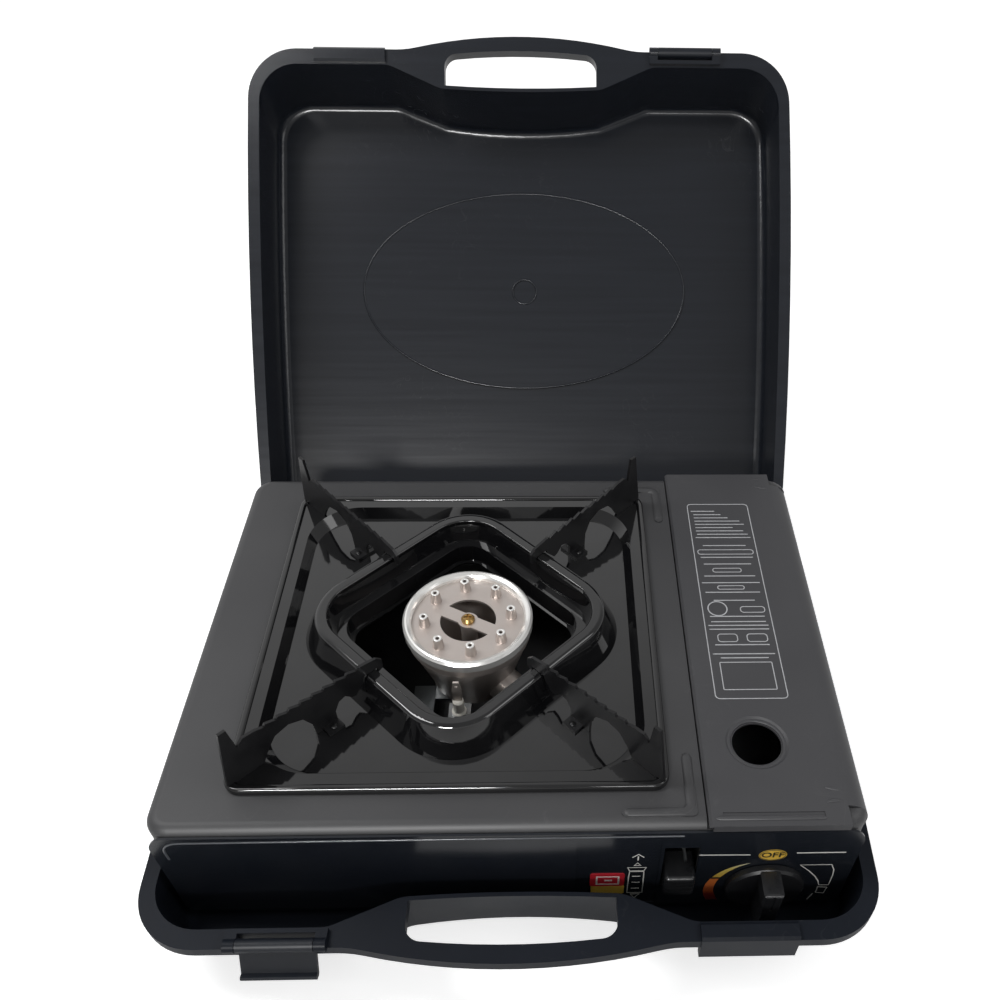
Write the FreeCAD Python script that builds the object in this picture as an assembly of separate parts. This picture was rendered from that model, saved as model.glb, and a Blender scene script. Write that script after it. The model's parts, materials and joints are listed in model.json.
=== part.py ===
import FreeCAD, Part
import math
import os
from FreeCAD import Vector

# Butane cassette stove standing in the open half of its carry case.
# Millimetres. X runs to the right, Y to the back, Z up. The origin is the
# middle of the stove's plan on the plane that the case rests on.

os.makedirs("parts", exist_ok=True)

# General fits
SEAT_GAP = 0.05
LIFT_GAP = 0.3
RUN_FIT = 0.05
SHEET = 1.0
PLATE_STEEL = 1.6

# Stove body
BODY_WIDTH = 343.0
BODY_DEPTH = 257.6
BODY_BASE_Z = 9.0
PLATE_Z = 88.0
BODY_CORNER = 12.0
BODY_TOP_ROUND = 6.0
SIDE_WALL_TOP_Z = 68.0
FOOT_RADIUS = 8.0
BASE_FLANGE = 8.0
VENT_LENGTH = 34.0
VENT_WIDTH = 4.0
VENT_PITCH = 9.0
VENT_COUNT = 5
HALF_BODY = BODY_WIDTH / 2
FRONT_Y = -BODY_DEPTH / 2
REAR_Y = BODY_DEPTH / 2
COMPARTMENT_X = HALF_BODY - 79.0
FOOT_X = HALF_BODY - 31.5
FOOT_Y = REAR_Y - 32.8
SCREW_X = HALF_BODY - 16.5
SCREW_Y = REAR_Y - 16.8

# Carry case, one half, with the room it leaves around the stove
CASE_DEPTH = 47.0
CASE_WALL = 2.2
CASE_FLOOR_FILLET = 7.0
CASE_SIDE_ROOM = 8.5
CASE_SIDE_BULGE = 4.0
CASE_FRONT_ROOM = 36.2
CASE_HINGE_ROOM = 12.9
CASE_RIM_HALF_END = HALF_BODY + CASE_SIDE_ROOM
CASE_RIM_HALF_MID = CASE_RIM_HALF_END + CASE_SIDE_BULGE
CASE_RIM_FRONT_Y = FRONT_Y - CASE_FRONT_ROOM
CASE_HINGE_Y = REAR_Y + CASE_HINGE_ROOM
CASE_RIM_BAND = 5.6
CASE_RIM_THICKNESS = 2.5
CASE_LIP_DROP = 6.5
CASE_FRONT_CORNER = 33.0
CASE_REAR_CORNER = 14.0
CASE_SIDE_TAPER = 1.0
CASE_FRONT_TAPER = 9.0
CASE_FRONT_WALL_INSET = 7.6
CASE_HINGE_INSET = 5.6
CASE_OPEN_DEG = 132.3
HANDLE_ROOT_X = CASE_RIM_HALF_END - 92.0
HANDLE_TOP_X = CASE_RIM_HALF_END - 126.0
HANDLE_BOW_X = CASE_RIM_HALF_END - 104.0
HANDLE_FRONT_Y = CASE_RIM_FRONT_Y - 9.0
HANDLE_WALL_Y = CASE_RIM_FRONT_Y + 24.2
HANDLE_WALL_TAPER = 9.4
HANDLE_WALL_BOW = 1.7
HANDLE_FLOOR_BOW = 4.0
HANDLE_DEPTH = 8.0
HANDLE_BAR_WIDTH = 9.2
HANDLE_HOLE_HALF_X = HANDLE_TOP_X - 3.2
HANDLE_HOLE_BOW = 3.0
HANDLE_HOLE_CORNER = 8.5
LID_OVAL_HALF_X = 116.0
LID_OVAL_HALF_Y = 69.0
LID_OVAL_FROM_HINGE = 160.0
LID_OVAL_STEP = 0.8
LID_GATE_RADIUS = 9.0

# Case hinge
KNUCKLE_RADIUS = 4.6
HINGE_PIN_RADIUS = 2.0
HINGE_STATION_X = CASE_RIM_HALF_END - 70.0
KNUCKLE_LONG = 9.7
KNUCKLE_SHORT = 6.0
KNUCKLE_GAP = 0.3
STOP_RIB_X = CASE_RIM_HALF_END - 100.0
STOP_RIB_WIDTH = 8.0
STOP_RIB_REACH = 12.0

# Side latches
LATCH_X = 70.0 - CASE_RIM_HALF_END
LATCH_WIDTH = 36.0
LATCH_LENGTH = 20.0
LATCH_THICKNESS = 2.6
LATCH_LEAN_DEG = 30.0
LATCH_EAR = 5.5
LATCH_BARREL_RADIUS = 3.2
LATCH_PIN_RADIUS = 1.3
LATCH_PIN_Y = CASE_RIM_FRONT_Y + 1.0
LATCH_PIN_ABOVE_RIM = 1.2
CATCH_X = CASE_RIM_HALF_END - 66.5
CATCH_WIDTH = 47.0
CATCH_ABOVE_RIM = 2.5
CATCH_BELOW_RIM = 16.4

# Front panel
PANEL_THICKNESS = 1.2
PANEL_TOP_Z = 84.4
PANEL_BOTTOM_Z = 10.5
PANEL_HALF_WIDTH = HALF_BODY - 2.0
PANEL_CORNER = 10.0
LABEL_RECESS_X = (COMPARTMENT_X - 61.5, COMPARTMENT_X - 20.5)
LABEL_RECESS_Z = (13.0, 80.0)
LABEL_RECESS_DEPTH = 0.5
SLOT_X = (COMPARTMENT_X - 18.7, COMPARTMENT_X - 1.5)
SLOT_Z = (29.6, 70.4)

# Drip pan
PAN_LEFT_ROOM = 34.0
PAN_RIGHT_ROOM = 16.0
PAN_END_ROOM = 21.8
PAN_X = (COMPARTMENT_X - PAN_RIGHT_ROOM - HALF_BODY + PAN_LEFT_ROOM) / 2
PAN_Y = -1.0
PAN_HALF = min((COMPARTMENT_X + HALF_BODY - PAN_LEFT_ROOM - PAN_RIGHT_ROOM) / 2, REAR_Y - PAN_END_ROOM)
PAN_CORNER = 8.0
PAN_BEAD = 4.0
PAN_BEAD_HEIGHT = 3.8
PAN_BORDER_ABOVE = 3.0
PAN_WELL_HALF = PAN_HALF - 10.0
PAN_WELL_CORNER = 28.0
PAN_FLOOR_HALF = PAN_HALF - 14.5
PAN_FLOOR_BELOW = 3.0
RIDGE_APOTHEM = 0.6 * PAN_HALF
RIDGE_WIDTH = 7.0
RIDGE_CORNER = 30.0
RIDGE_ABOVE = 14.0
COLLAR_BASE_APOTHEM = RIDGE_APOTHEM + 8.4
STEP_ONE_APOTHEM = RIDGE_APOTHEM - 9.9
STEP_ONE_BELOW_RIDGE = 13.0
STEP_TWO_APOTHEM = RIDGE_APOTHEM - 16.2
STEP_TWO_BELOW_RIDGE = 24.0
STEP_WIDTH = 4.6
OPENING_APOTHEM = RIDGE_APOTHEM - 17.6
TOP_HOLE_HALF = PAN_HALF - 7.5
TOP_HOLE_CORNER = 30.0

# Pan supports, measured along the pan's diagonals
SUPPORT_EAR_ABOVE = 40.0
SUPPORT_TOP_ABOVE = 28.0
SUPPORT_INNER_ABOVE = 23.0
SUPPORT_HOOK_TIP = RIDGE_APOTHEM - 10.6
SUPPORT_FOOT_OUT = 12.5
SUPPORT_FOOT_LENGTH = 9.0
SUPPORT_TEETH = 9
SUPPORT_TOOTH_DEPTH = 1.8

# Burner
BURNER_X = PAN_X + 3.5
BURNER_Y = PAN_Y + 1.0
BURNER_TOP_Z = 96.0
RING_OUTER_RADIUS = 35.8
RING_INNER_RADIUS = 31.0
RING_HEIGHT = 7.0
DISC_DROP = 4.0
DISC_THICKNESS = 1.4
DISC_OPENING_RADIUS = 15.5
CROSSBAR_WIDTH = 8.0
CROSSBAR_DEG = -28.0
NIPPLE_COUNT = 8
NIPPLE_CIRCLE = 24.0
NIPPLE_FIRST_DEG = 97.0
NIPPLE_HEIGHT = 6.5
NIPPLE_BASE_RADIUS = 3.2
NIPPLE_TOP_RADIUS = 2.4
NIPPLE_HOLE_RADIUS = 1.0
BURNER_SCREW_RADIUS = 3.75
BOWL_BOTTOM_Z = 43.0
BOWL_INLET_ABOVE = 18.0
BOWL_BOTTOM_RADIUS = 20.0
BOWL_WALL = 1.5
VENTURI_RADIUS = 7.5
VENTURI_WALL = 1.2
VENTURI_START = (COMPARTMENT_X - 8.5, FRONT_Y + 36.8, 24.0)

# Electrode in front of the burner
ELECTRODE_X = PAN_X - 0.5
ELECTRODE_Y = PAN_Y - 42.0
ELECTRODE_WIDTH = 5.0
ELECTRODE_TOP_Z = 91.0
INSULATOR_RADIUS = 3.0
INSULATOR_TOP_Z = 76.0
INSULATOR_LENGTH = 20.0

# Gas side
CARTRIDGE_X = HALF_BODY - 39.7
CARTRIDGE_Z = 50.0
CARTRIDGE_RADIUS = 33.0
REGULATOR_RADIUS = 20.0
REGULATOR_FRONT_Y = FRONT_Y + 18.8
REGULATOR_REAR_Y = FRONT_Y + 38.8
SOCKET_RADIUS = 11.0
SOCKET_LENGTH = 5.0
GAS_PIPE_RADIUS = 2.5
KNOB_X = HALF_BODY - 44.5
KNOB_Z = 33.0
KNOB_SKIRT_RADIUS = 20.0
KNOB_SKIRT_DEPTH = 4.0
KNOB_GRIP_WIDTH = 10.0
KNOB_REACH = 17.5
SHAFT_RADIUS = 3.5
VALVE_HALF_X = 13.0
VALVE_HALF_Z = 10.0
IGNITER_X = COMPARTMENT_X + 9.9
IGNITER_Z = 49.5
IGNITER_WIDTH = 11.0
IGNITER_LENGTH = 28.0
LEAD_RADIUS = 1.2
LEAD_CROSSING = (FRONT_Y + 50.2, 24.0)

# Cartridge lock
LEVER_PIVOT_Y = FRONT_Y + 58.8
LEVER_PIVOT_Z = 49.6
LEVER_SWING_DEG = 16.0
LEVER_THICKNESS = 1.6
LEVER_CAP_WIDTH = 15.6
LEVER_CAP_HEIGHT = 17.6
LEVER_CAP_REACH = 6.5
LEVER_PIN_RADIUS = 2.5
DRIVE_PIN_RADIUS = 2.0
DRIVE_ARM = 18.0
HEAT_SHIELD_X = COMPARTMENT_X + 0.1
FORK_Y = LEVER_PIVOT_Y - 2.0
SLIDE_LENGTH = 46.0
SLIDE_HEIGHT = 26.0
SPRING_COILS = 8
SPRING_RADIUS = 2.4
SPRING_WIRE = 0.5
SPRING_LENGTH = 23.5
SPRING_X = HEAT_SHIELD_X + 8.8
SPRING_Z = 70.4
SPRING_SEAT_Y = FORK_Y + 32.0

# Cartridge cover
COVER_X = COMPARTMENT_X + 0.7
COVER_RIGHT_X = HALF_BODY + 1.0
COVER_TOP_Z = 90.0
COVER_ROUND = 13.0
COVER_SKIRT_Z = 72.0
COVER_LIP_DROP = 4.8
COVER_HINGE_X = COVER_RIGHT_X - 6.0
COVER_HINGE_Z = 76.0
COVER_PIN_RADIUS = 2.0
COVER_END_Y = REAR_Y - 10.6
COVER_NOTCH_X = COVER_RIGHT_X - 11.7
SIGHT_X = HALF_BODY - 49.3
SIGHT_Y = FRONT_Y + 47.1
SIGHT_RADIUS = 12.5
SIGHT_RING_RADIUS = 16.6

# Values that follow from the ones above
WALL_FRONT_Y = FRONT_Y + PANEL_THICKNESS + SEAT_GAP
FOOT_BOTTOM_Z = CASE_WALL + LIFT_GAP
BORDER_Z = PLATE_Z + PAN_BORDER_ABOVE
DISH_Z = PLATE_Z - PAN_FLOOR_BELOW
RIDGE_Z = PLATE_Z + RIDGE_ABOVE
RING_BOTTOM_Z = BURNER_TOP_Z - RING_HEIGHT
DISC_Z = BURNER_TOP_Z - DISC_DROP
HINGE_POINT = Vector(0, CASE_HINGE_Y, CASE_DEPTH)
VALVE_FRONT_Y = FRONT_Y + 11.0
VALVE_REAR_Y = REGULATOR_FRONT_Y + 8.0
ALONG_X = Vector(1, 0, 0)
ALONG_Y = Vector(0, 1, 0)
ALONG_Z = Vector(0, 0, 1)


def save(name, shape):
    """Write one node, after checking that each of its solids is sound."""
    solids = shape.Solids
    if not solids or not all(solid.isValid() for solid in solids):
        raise ValueError(name + " is not a valid solid")
    result = solids[0] if len(solids) == 1 else Part.makeCompound(solids)
    result.exportStep("parts/" + name + ".step")


def box(x0, x1, y0, y1, z0, z1):
    return Part.makeBox(x1 - x0, y1 - y0, z1 - z0, Vector(x0, y0, z0))


def rod(radius, start, end):
    start = Vector(*start)
    direction = Vector(*end) - start
    return Part.makeCylinder(radius, direction.Length, start, direction)


def fused(shapes):
    result = shapes[0]
    for shape in shapes[1:]:
        result = result.fuse(shape)
    return result.removeSplitter()


def face_of(points):
    return Part.Face(Part.makePolygon(points + [points[0]]))


def plate_yz(points, x0, x1):
    """Flat plate: an outline of (y, z) points, from x0 to x1."""
    return face_of([Vector(x0, y, z) for y, z in points]).extrude(Vector(x1 - x0, 0, 0))


def plate_xz(points, y0, y1):
    """Flat plate: an outline of (x, z) points, from y0 to y1."""
    return face_of([Vector(x, y0, z) for x, z in points]).extrude(Vector(0, y1 - y0, 0))


def turned(points, centre_x, centre_y):
    """Turned piece: an outline of (radius, z) points about an upright axis."""
    face = face_of([Vector(centre_x + r, centre_y, z) for r, z in points])
    return face.revolve(Vector(centre_x, centre_y, 0), ALONG_Z, 360)


def turned_y(points, centre_x, centre_z):
    """Turned piece: an outline of (radius, y) points about an axis along Y."""
    face = face_of([Vector(centre_x + r, y, centre_z) for r, y in points])
    return face.revolve(Vector(centre_x, 0, centre_z), ALONG_Y, 360)


def rounded_rect(centre_x, centre_y, half_x, half_y, radius, z, turn_deg=0.0):
    """Wire of a rectangle with round corners, turned about its own centre."""
    k = radius * (1 - math.sqrt(0.5))
    corners = [(1, 1), (-1, 1), (-1, -1), (1, -1)]
    edges = []
    ends = []
    for sx, sy in corners:
        on_x = Vector(sx * half_x, sy * (half_y - radius), z)
        on_y = Vector(sx * (half_x - radius), sy * half_y, z)
        middle = Vector(sx * (half_x - k), sy * (half_y - k), z)
        first, last = (on_x, on_y) if sx * sy > 0 else (on_y, on_x)
        ends.append((first, last))
        edges.append(Part.Arc(first, middle, last).toShape())
    path = []
    for index in range(4):
        path.append(edges[index])
        path.append(Part.LineSegment(ends[index][1], ends[(index + 1) % 4][0]).toShape())
    wire = Part.Wire(path)
    wire.rotate(Vector(0, 0, z), ALONG_Z, turn_deg)
    wire.translate(Vector(centre_x, centre_y, 0))
    return wire


def prism(wire, height):
    return Part.Face(wire).extrude(Vector(0, 0, height))


def loft(wires):
    return Part.makeLoft(wires, True, True)


def pan_square(half, radius, z):
    return rounded_rect(PAN_X, PAN_Y, half, half, radius, z)


def pan_diamond(apothem, z):
    """Square ring level of the collar, standing on one corner."""
    radius = max(RIDGE_CORNER + apothem - RIDGE_APOTHEM, 4.0)
    return rounded_rect(PAN_X, PAN_Y, apothem, apothem, radius, z, 45)


def edges_where(shape, test):
    return [edge for edge in shape.Edges if test(edge)]


def is_upright(edge):
    box_ = edge.BoundBox
    return box_.ZLength > 0.5 and box_.XLength < 0.01 and box_.YLength < 0.01


def routed_tube(points, radius):
    """Round lead along straight runs joined by tangent arcs."""
    nodes = [Vector(*point) for point in points]
    start = nodes[0]
    edges = []
    smallest = 1000.0
    for index in range(1, len(nodes) - 1):
        into = nodes[index] - nodes[index - 1]
        out = nodes[index + 1] - nodes[index]
        short = min(into.Length, out.Length)
        turn = into.getAngle(out)
        reach = 0.45 * short
        smallest = min(smallest, reach / math.tan(turn / 2))
        into.normalize()
        out.normalize()
        before = nodes[index] - into * reach
        after = nodes[index] + out * reach
        bend = reach / math.tan(turn / 2)
        towards = (out - into).normalize()
        centre = nodes[index] + towards * (bend / math.cos(turn / 2))
        middle = centre - towards * bend
        edges.append(Part.LineSegment(start, before).toShape())
        edges.append(Part.Arc(before, middle, after).toShape())
        start = after
    edges.append(Part.LineSegment(start, nodes[-1]).toShape())
    path = Part.Wire(edges)
    section = Part.Wire(Part.Circle(nodes[0], nodes[1] - nodes[0], radius).toShape())
    tube = path.makePipeShell([section], True, True)
    print("lead: least bend radius", round(smallest, 1), "length", round(path.Length, 1))
    return tube


# Carry case

def case_outline(half_mid, half_end, front_y, rear_y, bump, radii, z):
    """Plan of a case half: bulging sides, and a bowed bump or dip in the front edge.

    bump gives the x of its root, the x and y where its bow starts, and the y
    of the bow's middle. radii gives the front corners, the rear corners and
    the bends of the bump.
    """
    def side(sign):
        top = Vector(sign * half_end, rear_y, z)
        mid = Vector(sign * half_mid, (rear_y + front_y) / 2, z)
        low = Vector(sign * half_end, front_y, z)
        ends = (top, mid, low) if sign > 0 else (low, mid, top)
        return Part.Arc(*ends).toShape()

    root, bow_x, bow_y, middle_y = bump
    run = [Vector(half_end, front_y, z), Vector(root, front_y, z)]
    if root - bow_x > 0.01:
        run.append(Vector(bow_x, bow_y, z))
    back = [Vector(-point.x, point.y, z) for point in reversed(run)]
    edges = [side(1)]
    edges += [Part.LineSegment(start, end).toShape() for start, end in zip(run, run[1:])]
    edges.append(Part.Arc(run[-1], Vector(0, middle_y, z), back[0]).toShape())
    edges += [Part.LineSegment(start, end).toShape() for start, end in zip(back, back[1:])]
    edges.append(side(-1))
    edges.append(Part.LineSegment(Vector(-half_end, rear_y, z), Vector(half_end, rear_y, z)).toShape())
    block = Part.Face(Part.Wire(edges)).extrude(ALONG_Z)
    front_radius, rear_radius, bump_radius = radii
    for radius, test in (
        (front_radius, lambda p: abs(abs(p.x) - half_end) < 0.01 and abs(p.y - front_y) < 0.01),
        (rear_radius, lambda p: abs(abs(p.x) - half_end) < 0.01 and abs(p.y - rear_y) < 0.01),
        (bump_radius, lambda p: abs(p.x) < root + 0.01 and p.y < 0),
    ):
        chosen = [edge for edge in block.Edges if is_upright(edge) and test(edge.Vertexes[0].Point)]
        block = block.makeFillet(radius, chosen)
    low_face = min(block.Faces, key=lambda face: face.CenterOfMass.z)
    return low_face.OuterWire


def case_wall_outline(z, inset):
    """Wall plan at height z above the case's outer floor, moved in by inset."""
    share = (CASE_DEPTH - z) / CASE_DEPTH
    side = CASE_SIDE_TAPER * share + inset
    front = CASE_FRONT_TAPER * share + inset
    middle_y = HANDLE_WALL_Y + HANDLE_WALL_TAPER * share + inset
    bow = HANDLE_WALL_BOW + (HANDLE_FLOOR_BOW - HANDLE_WALL_BOW) * share
    return case_outline(
        CASE_RIM_HALF_MID - CASE_RIM_BAND - side,
        CASE_RIM_HALF_END - CASE_RIM_BAND + 1.2 - side,
        CASE_RIM_FRONT_Y + CASE_FRONT_WALL_INSET + front,
        CASE_HINGE_Y - CASE_HINGE_INSET - side,
        (HANDLE_ROOT_X, HANDLE_TOP_X, middle_y - bow, middle_y),
        (CASE_FRONT_CORNER - CASE_RIM_BAND - inset, CASE_REAR_CORNER - 2.0 - inset, 18.0),
        z,
    )


def case_rim_outline(z, inset):
    """Outer edge of the rim, which bows out into the handle at the front."""
    return case_outline(
        CASE_RIM_HALF_MID - inset,
        CASE_RIM_HALF_END - inset,
        CASE_RIM_FRONT_Y + inset,
        CASE_HINGE_Y - CASE_HINGE_INSET + 2.0 - inset,
        (HANDLE_BOW_X, HANDLE_BOW_X, CASE_RIM_FRONT_Y + inset, HANDLE_FRONT_Y + inset),
        (CASE_FRONT_CORNER - inset, CASE_REAR_CORNER - inset, 60.0),
        z,
    )


def floor_edges(shape, z):
    return edges_where(shape, lambda edge: abs(edge.BoundBox.ZMin - z) < 0.01 and edge.BoundBox.ZLength < 0.01)


def case_tub():
    outside = loft([case_wall_outline(0.0, 0.0), case_wall_outline(CASE_DEPTH, 0.0)])
    outside = outside.makeFillet(CASE_FLOOR_FILLET, floor_edges(outside, 0.0))
    inside = loft([case_wall_outline(CASE_WALL, CASE_WALL), case_wall_outline(CASE_DEPTH, CASE_WALL)])
    inside = inside.makeFillet(CASE_FLOOR_FILLET - CASE_WALL, floor_edges(inside, CASE_WALL))
    return outside, inside


def finger_hole(z0, z1):
    """Room for the fingers, between the grip bar and the case's front wall."""
    front = HANDLE_FRONT_Y + HANDLE_BAR_WIDTH
    rear = HANDLE_WALL_Y + HANDLE_WALL_TAPER
    half = HANDLE_HOLE_HALF_X
    left = Vector(-half, front + HANDLE_HOLE_BOW, z0)
    right = Vector(half, front + HANDLE_HOLE_BOW, z0)
    edges = [
        Part.Arc(left, Vector(0, front, z0), right).toShape(),
        Part.LineSegment(right, Vector(half, rear, z0)).toShape(),
        Part.LineSegment(Vector(half, rear, z0), Vector(-half, rear, z0)).toShape(),
        Part.LineSegment(Vector(-half, rear, z0), left).toShape(),
    ]
    block = prism(Part.Wire(edges), z1 - z0)
    corners = edges_where(block, lambda edge: is_upright(edge) and edge.BoundBox.YMax < rear - 1)
    return block.makeFillet(HANDLE_HOLE_CORNER, corners)


def case_handle():
    """Grip bar under the rim, between the two roots of the handle."""
    block = prism(case_rim_outline(CASE_DEPTH - HANDLE_DEPTH, 0.4), HANDLE_DEPTH)
    reach = HANDLE_TOP_X + 8.0
    bar = block.common(box(-reach, reach, HANDLE_FRONT_Y - 5, HANDLE_WALL_Y + 4.0, 0, CASE_DEPTH))
    front = HANDLE_FRONT_Y + HANDLE_BAR_WIDTH
    low = edges_where(bar, lambda edge: edge.BoundBox.ZMax < CASE_DEPTH - HANDLE_DEPTH + 0.01
                      and edge.BoundBox.YMax < front and edge.BoundBox.XLength > 5)
    return bar.makeFillet(3.0, low)


def knuckle(x0, x1):
    barrel = rod(KNUCKLE_RADIUS, (x0, CASE_HINGE_Y, CASE_DEPTH), (x1, CASE_HINGE_Y, CASE_DEPTH))
    web_rear = CASE_HINGE_Y - 0.5
    web = box(x0, x1, CASE_HINGE_Y - CASE_HINGE_INSET - 1.0, web_rear, CASE_DEPTH - KNUCKLE_RADIUS, CASE_DEPTH - 0.6)
    bore = rod(HINGE_PIN_RADIUS + RUN_FIT, (x0 - 1, CASE_HINGE_Y, CASE_DEPTH), (x1 + 1, CASE_HINGE_Y, CASE_DEPTH))
    return barrel.fuse(web).cut(bore)


def knuckle_spans():
    """Spans of this half's knuckles and, second, the gaps for the other half's."""
    near = KNUCKLE_SHORT / 2
    far = near + KNUCKLE_GAP + KNUCKLE_LONG
    station = HINGE_STATION_X
    own = [
        (station + near + KNUCKLE_GAP, station + far),
        (station - far, station - near - KNUCKLE_GAP),
        (-station - near, -station + near),
    ]
    other = [(-end, -start) for start, end in own]
    return own, other


def stop_rib(centre_x):
    """Rib behind the wall that meets the other half's rib when fully open."""
    half_open = math.radians(CASE_OPEN_DEG / 2)
    along = (math.cos(half_open), -math.sin(half_open))
    back = 0.5 * LIFT_GAP
    near = 6.5
    far = near + STOP_RIB_REACH
    wall_y = CASE_HINGE_Y - CASE_HINGE_INSET - 1.0
    first = (CASE_HINGE_Y + along[0] * near + along[1] * back, CASE_DEPTH + along[1] * near - along[0] * back)
    last = (CASE_HINGE_Y + along[0] * far + along[1] * back, CASE_DEPTH + along[1] * far - along[0] * back)
    outline = [(wall_y, first[1]), first, last, (wall_y, last[1] - 5.0)]
    return plate_yz(outline, centre_x - STOP_RIB_WIDTH / 2, centre_x + STOP_RIB_WIDTH / 2)


def latch_bracket():
    """Block on the rim with two ears that hold the latch pin."""
    pin_z = CASE_DEPTH + LATCH_PIN_ABOVE_RIM
    rear = CASE_RIM_FRONT_Y + CASE_FRONT_WALL_INSET + 1.0
    low = CASE_DEPTH - CASE_LIP_DROP
    top = CASE_DEPTH + 3.0
    parts = []
    half = LATCH_WIDTH / 2
    for side in (-1, 1):
        inner = LATCH_X + side * (half + KNUCKLE_GAP)
        outer = inner + side * LATCH_EAR
        x0, x1 = min(inner, outer), max(inner, outer)
        ear = box(x0, x1, LATCH_PIN_Y, rear, low, top)
        ear = ear.fuse(rod(LATCH_BARREL_RADIUS, (x0, LATCH_PIN_Y, pin_z), (x1, LATCH_PIN_Y, pin_z)))
        parts.append(ear)
    parts.append(box(LATCH_X - half - 1.0, LATCH_X + half + 1.0, rear - 2.4, rear, low, top))
    return parts


def latch_cuts():
    """Room in the rim for the latch to swing, and the pin's hole."""
    pin_z = CASE_DEPTH + LATCH_PIN_ABOVE_RIM
    rear = CASE_RIM_FRONT_Y + CASE_FRONT_WALL_INSET - 1.3
    half = LATCH_WIDTH / 2 + KNUCKLE_GAP
    room = box(LATCH_X - half, LATCH_X + half, CASE_RIM_FRONT_Y - 5, rear, CASE_DEPTH - 12, CASE_DEPTH + 5)
    reach = half + LATCH_EAR - 1.0
    bore = rod(LATCH_PIN_RADIUS + RUN_FIT, (LATCH_X - reach, LATCH_PIN_Y, pin_z), (LATCH_X + reach, LATCH_PIN_Y, pin_z))
    return [room, bore]


def case_catch():
    """Raised block whose lower edge the other half's latch hooks under."""
    x0 = CATCH_X - CATCH_WIDTH / 2
    x1 = CATCH_X + CATCH_WIDTH / 2
    front = CASE_RIM_FRONT_Y - 0.6
    rear = CASE_RIM_FRONT_Y + CASE_FRONT_WALL_INSET + 1.0
    top = CASE_DEPTH + CATCH_ABOVE_RIM
    low = CASE_DEPTH - CATCH_BELOW_RIM
    outline = [(rear, low + 6), (rear, top - 1.0), (rear - 1.5, top), (front + 1.5, top), (front, top - 1.5),
               (front, low), (front + 3.5, low), (front + 4.5, low + 4)]
    return plate_yz(outline, x0, x1)


def case_half(with_oval):
    outside, inside = case_tub()
    rim_low = CASE_DEPTH - CASE_RIM_THICKNESS
    lip_low = CASE_DEPTH - CASE_LIP_DROP
    rim = prism(case_rim_outline(rim_low, 0.0), CASE_RIM_THICKNESS)
    lip = prism(case_rim_outline(lip_low, 0.0), CASE_LIP_DROP).cut(
        prism(case_rim_outline(lip_low, CASE_WALL), CASE_LIP_DROP))
    own, other = knuckle_spans()
    body = fused([outside, rim, lip, case_handle(), case_catch()] + latch_bracket()
                 + [stop_rib(-STOP_RIB_X), stop_rib(STOP_RIB_X)])
    cuts = [inside, finger_hole(0, CASE_DEPTH + 5).cut(outside)] + latch_cuts()
    for x0, x1 in other:
        room = KNUCKLE_RADIUS + 0.6
        cuts.append(rod(room, (x0 - 0.3, CASE_HINGE_Y, CASE_DEPTH), (x1 + 0.3, CASE_HINGE_Y, CASE_DEPTH)))
    body = body.cut(Part.makeCompound(cuts))
    body = fused([body] + [knuckle(x0, x1) for x0, x1 in own])
    if with_oval:
        middle = CASE_HINGE_Y - LID_OVAL_FROM_HINGE
        oval = Part.Ellipse(Vector(0, middle, CASE_WALL), LID_OVAL_HALF_X, LID_OVAL_HALF_Y).toShape()
        pad = prism(Part.Wire(oval), LID_OVAL_STEP)
        gate = rod(LID_GATE_RADIUS, (0, middle, CASE_WALL + 0.3), (0, middle, CASE_WALL + 2.0))
        body = body.fuse(pad).cut(gate)
    return body


def to_lid(shape):
    """Turn a piece of the lower half over, then open it to the rest position."""
    turned_over = shape.copy()
    turned_over.rotate(Vector(0, 0, CASE_DEPTH), ALONG_Y, 180)
    turned_over.rotate(HINGE_POINT, ALONG_X, -CASE_OPEN_DEG)
    return turned_over


def side_latch():
    """Flap that hangs outward from its pin, with a hook along its free end."""
    pin_y = LATCH_PIN_Y
    pin_z = CASE_DEPTH + LATCH_PIN_ABOVE_RIM
    x0 = LATCH_X - LATCH_WIDTH / 2
    x1 = LATCH_X + LATCH_WIDTH / 2
    near = 2.2
    far = near + LATCH_THICKNESS
    low = pin_z - LATCH_LENGTH
    outline = [(pin_y + near, pin_z), (pin_y + near, low + 3.1), (pin_y - 0.2, low + 2.5), (pin_y - 0.2, low + 1.0),
               (pin_y + 0.8, low), (pin_y + far - 1.0, low), (pin_y + far, low + 1.0), (pin_y + far, pin_z - 0.6),
               (pin_y + near + 0.6, pin_z + 2.0)]
    flap = plate_yz(outline, x0, x1)
    barrel = rod(LATCH_BARREL_RADIUS, (x0, pin_y, pin_z), (x1, pin_y, pin_z))
    flap = fused([flap, barrel])
    flap = flap.cut(rod(LATCH_PIN_RADIUS + RUN_FIT, (x0 - 1, pin_y, pin_z), (x1 + 1, pin_y, pin_z)))
    flap.rotate(Vector(0, pin_y, pin_z), ALONG_X, -LATCH_LEAN_DEG)
    return flap


def latch_pin():
    pin_z = CASE_DEPTH + LATCH_PIN_ABOVE_RIM
    reach = LATCH_WIDTH / 2 + KNUCKLE_GAP + LATCH_EAR - 1.2
    return rod(LATCH_PIN_RADIUS, (LATCH_X - reach, LATCH_PIN_Y, pin_z), (LATCH_X + reach, LATCH_PIN_Y, pin_z))


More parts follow.
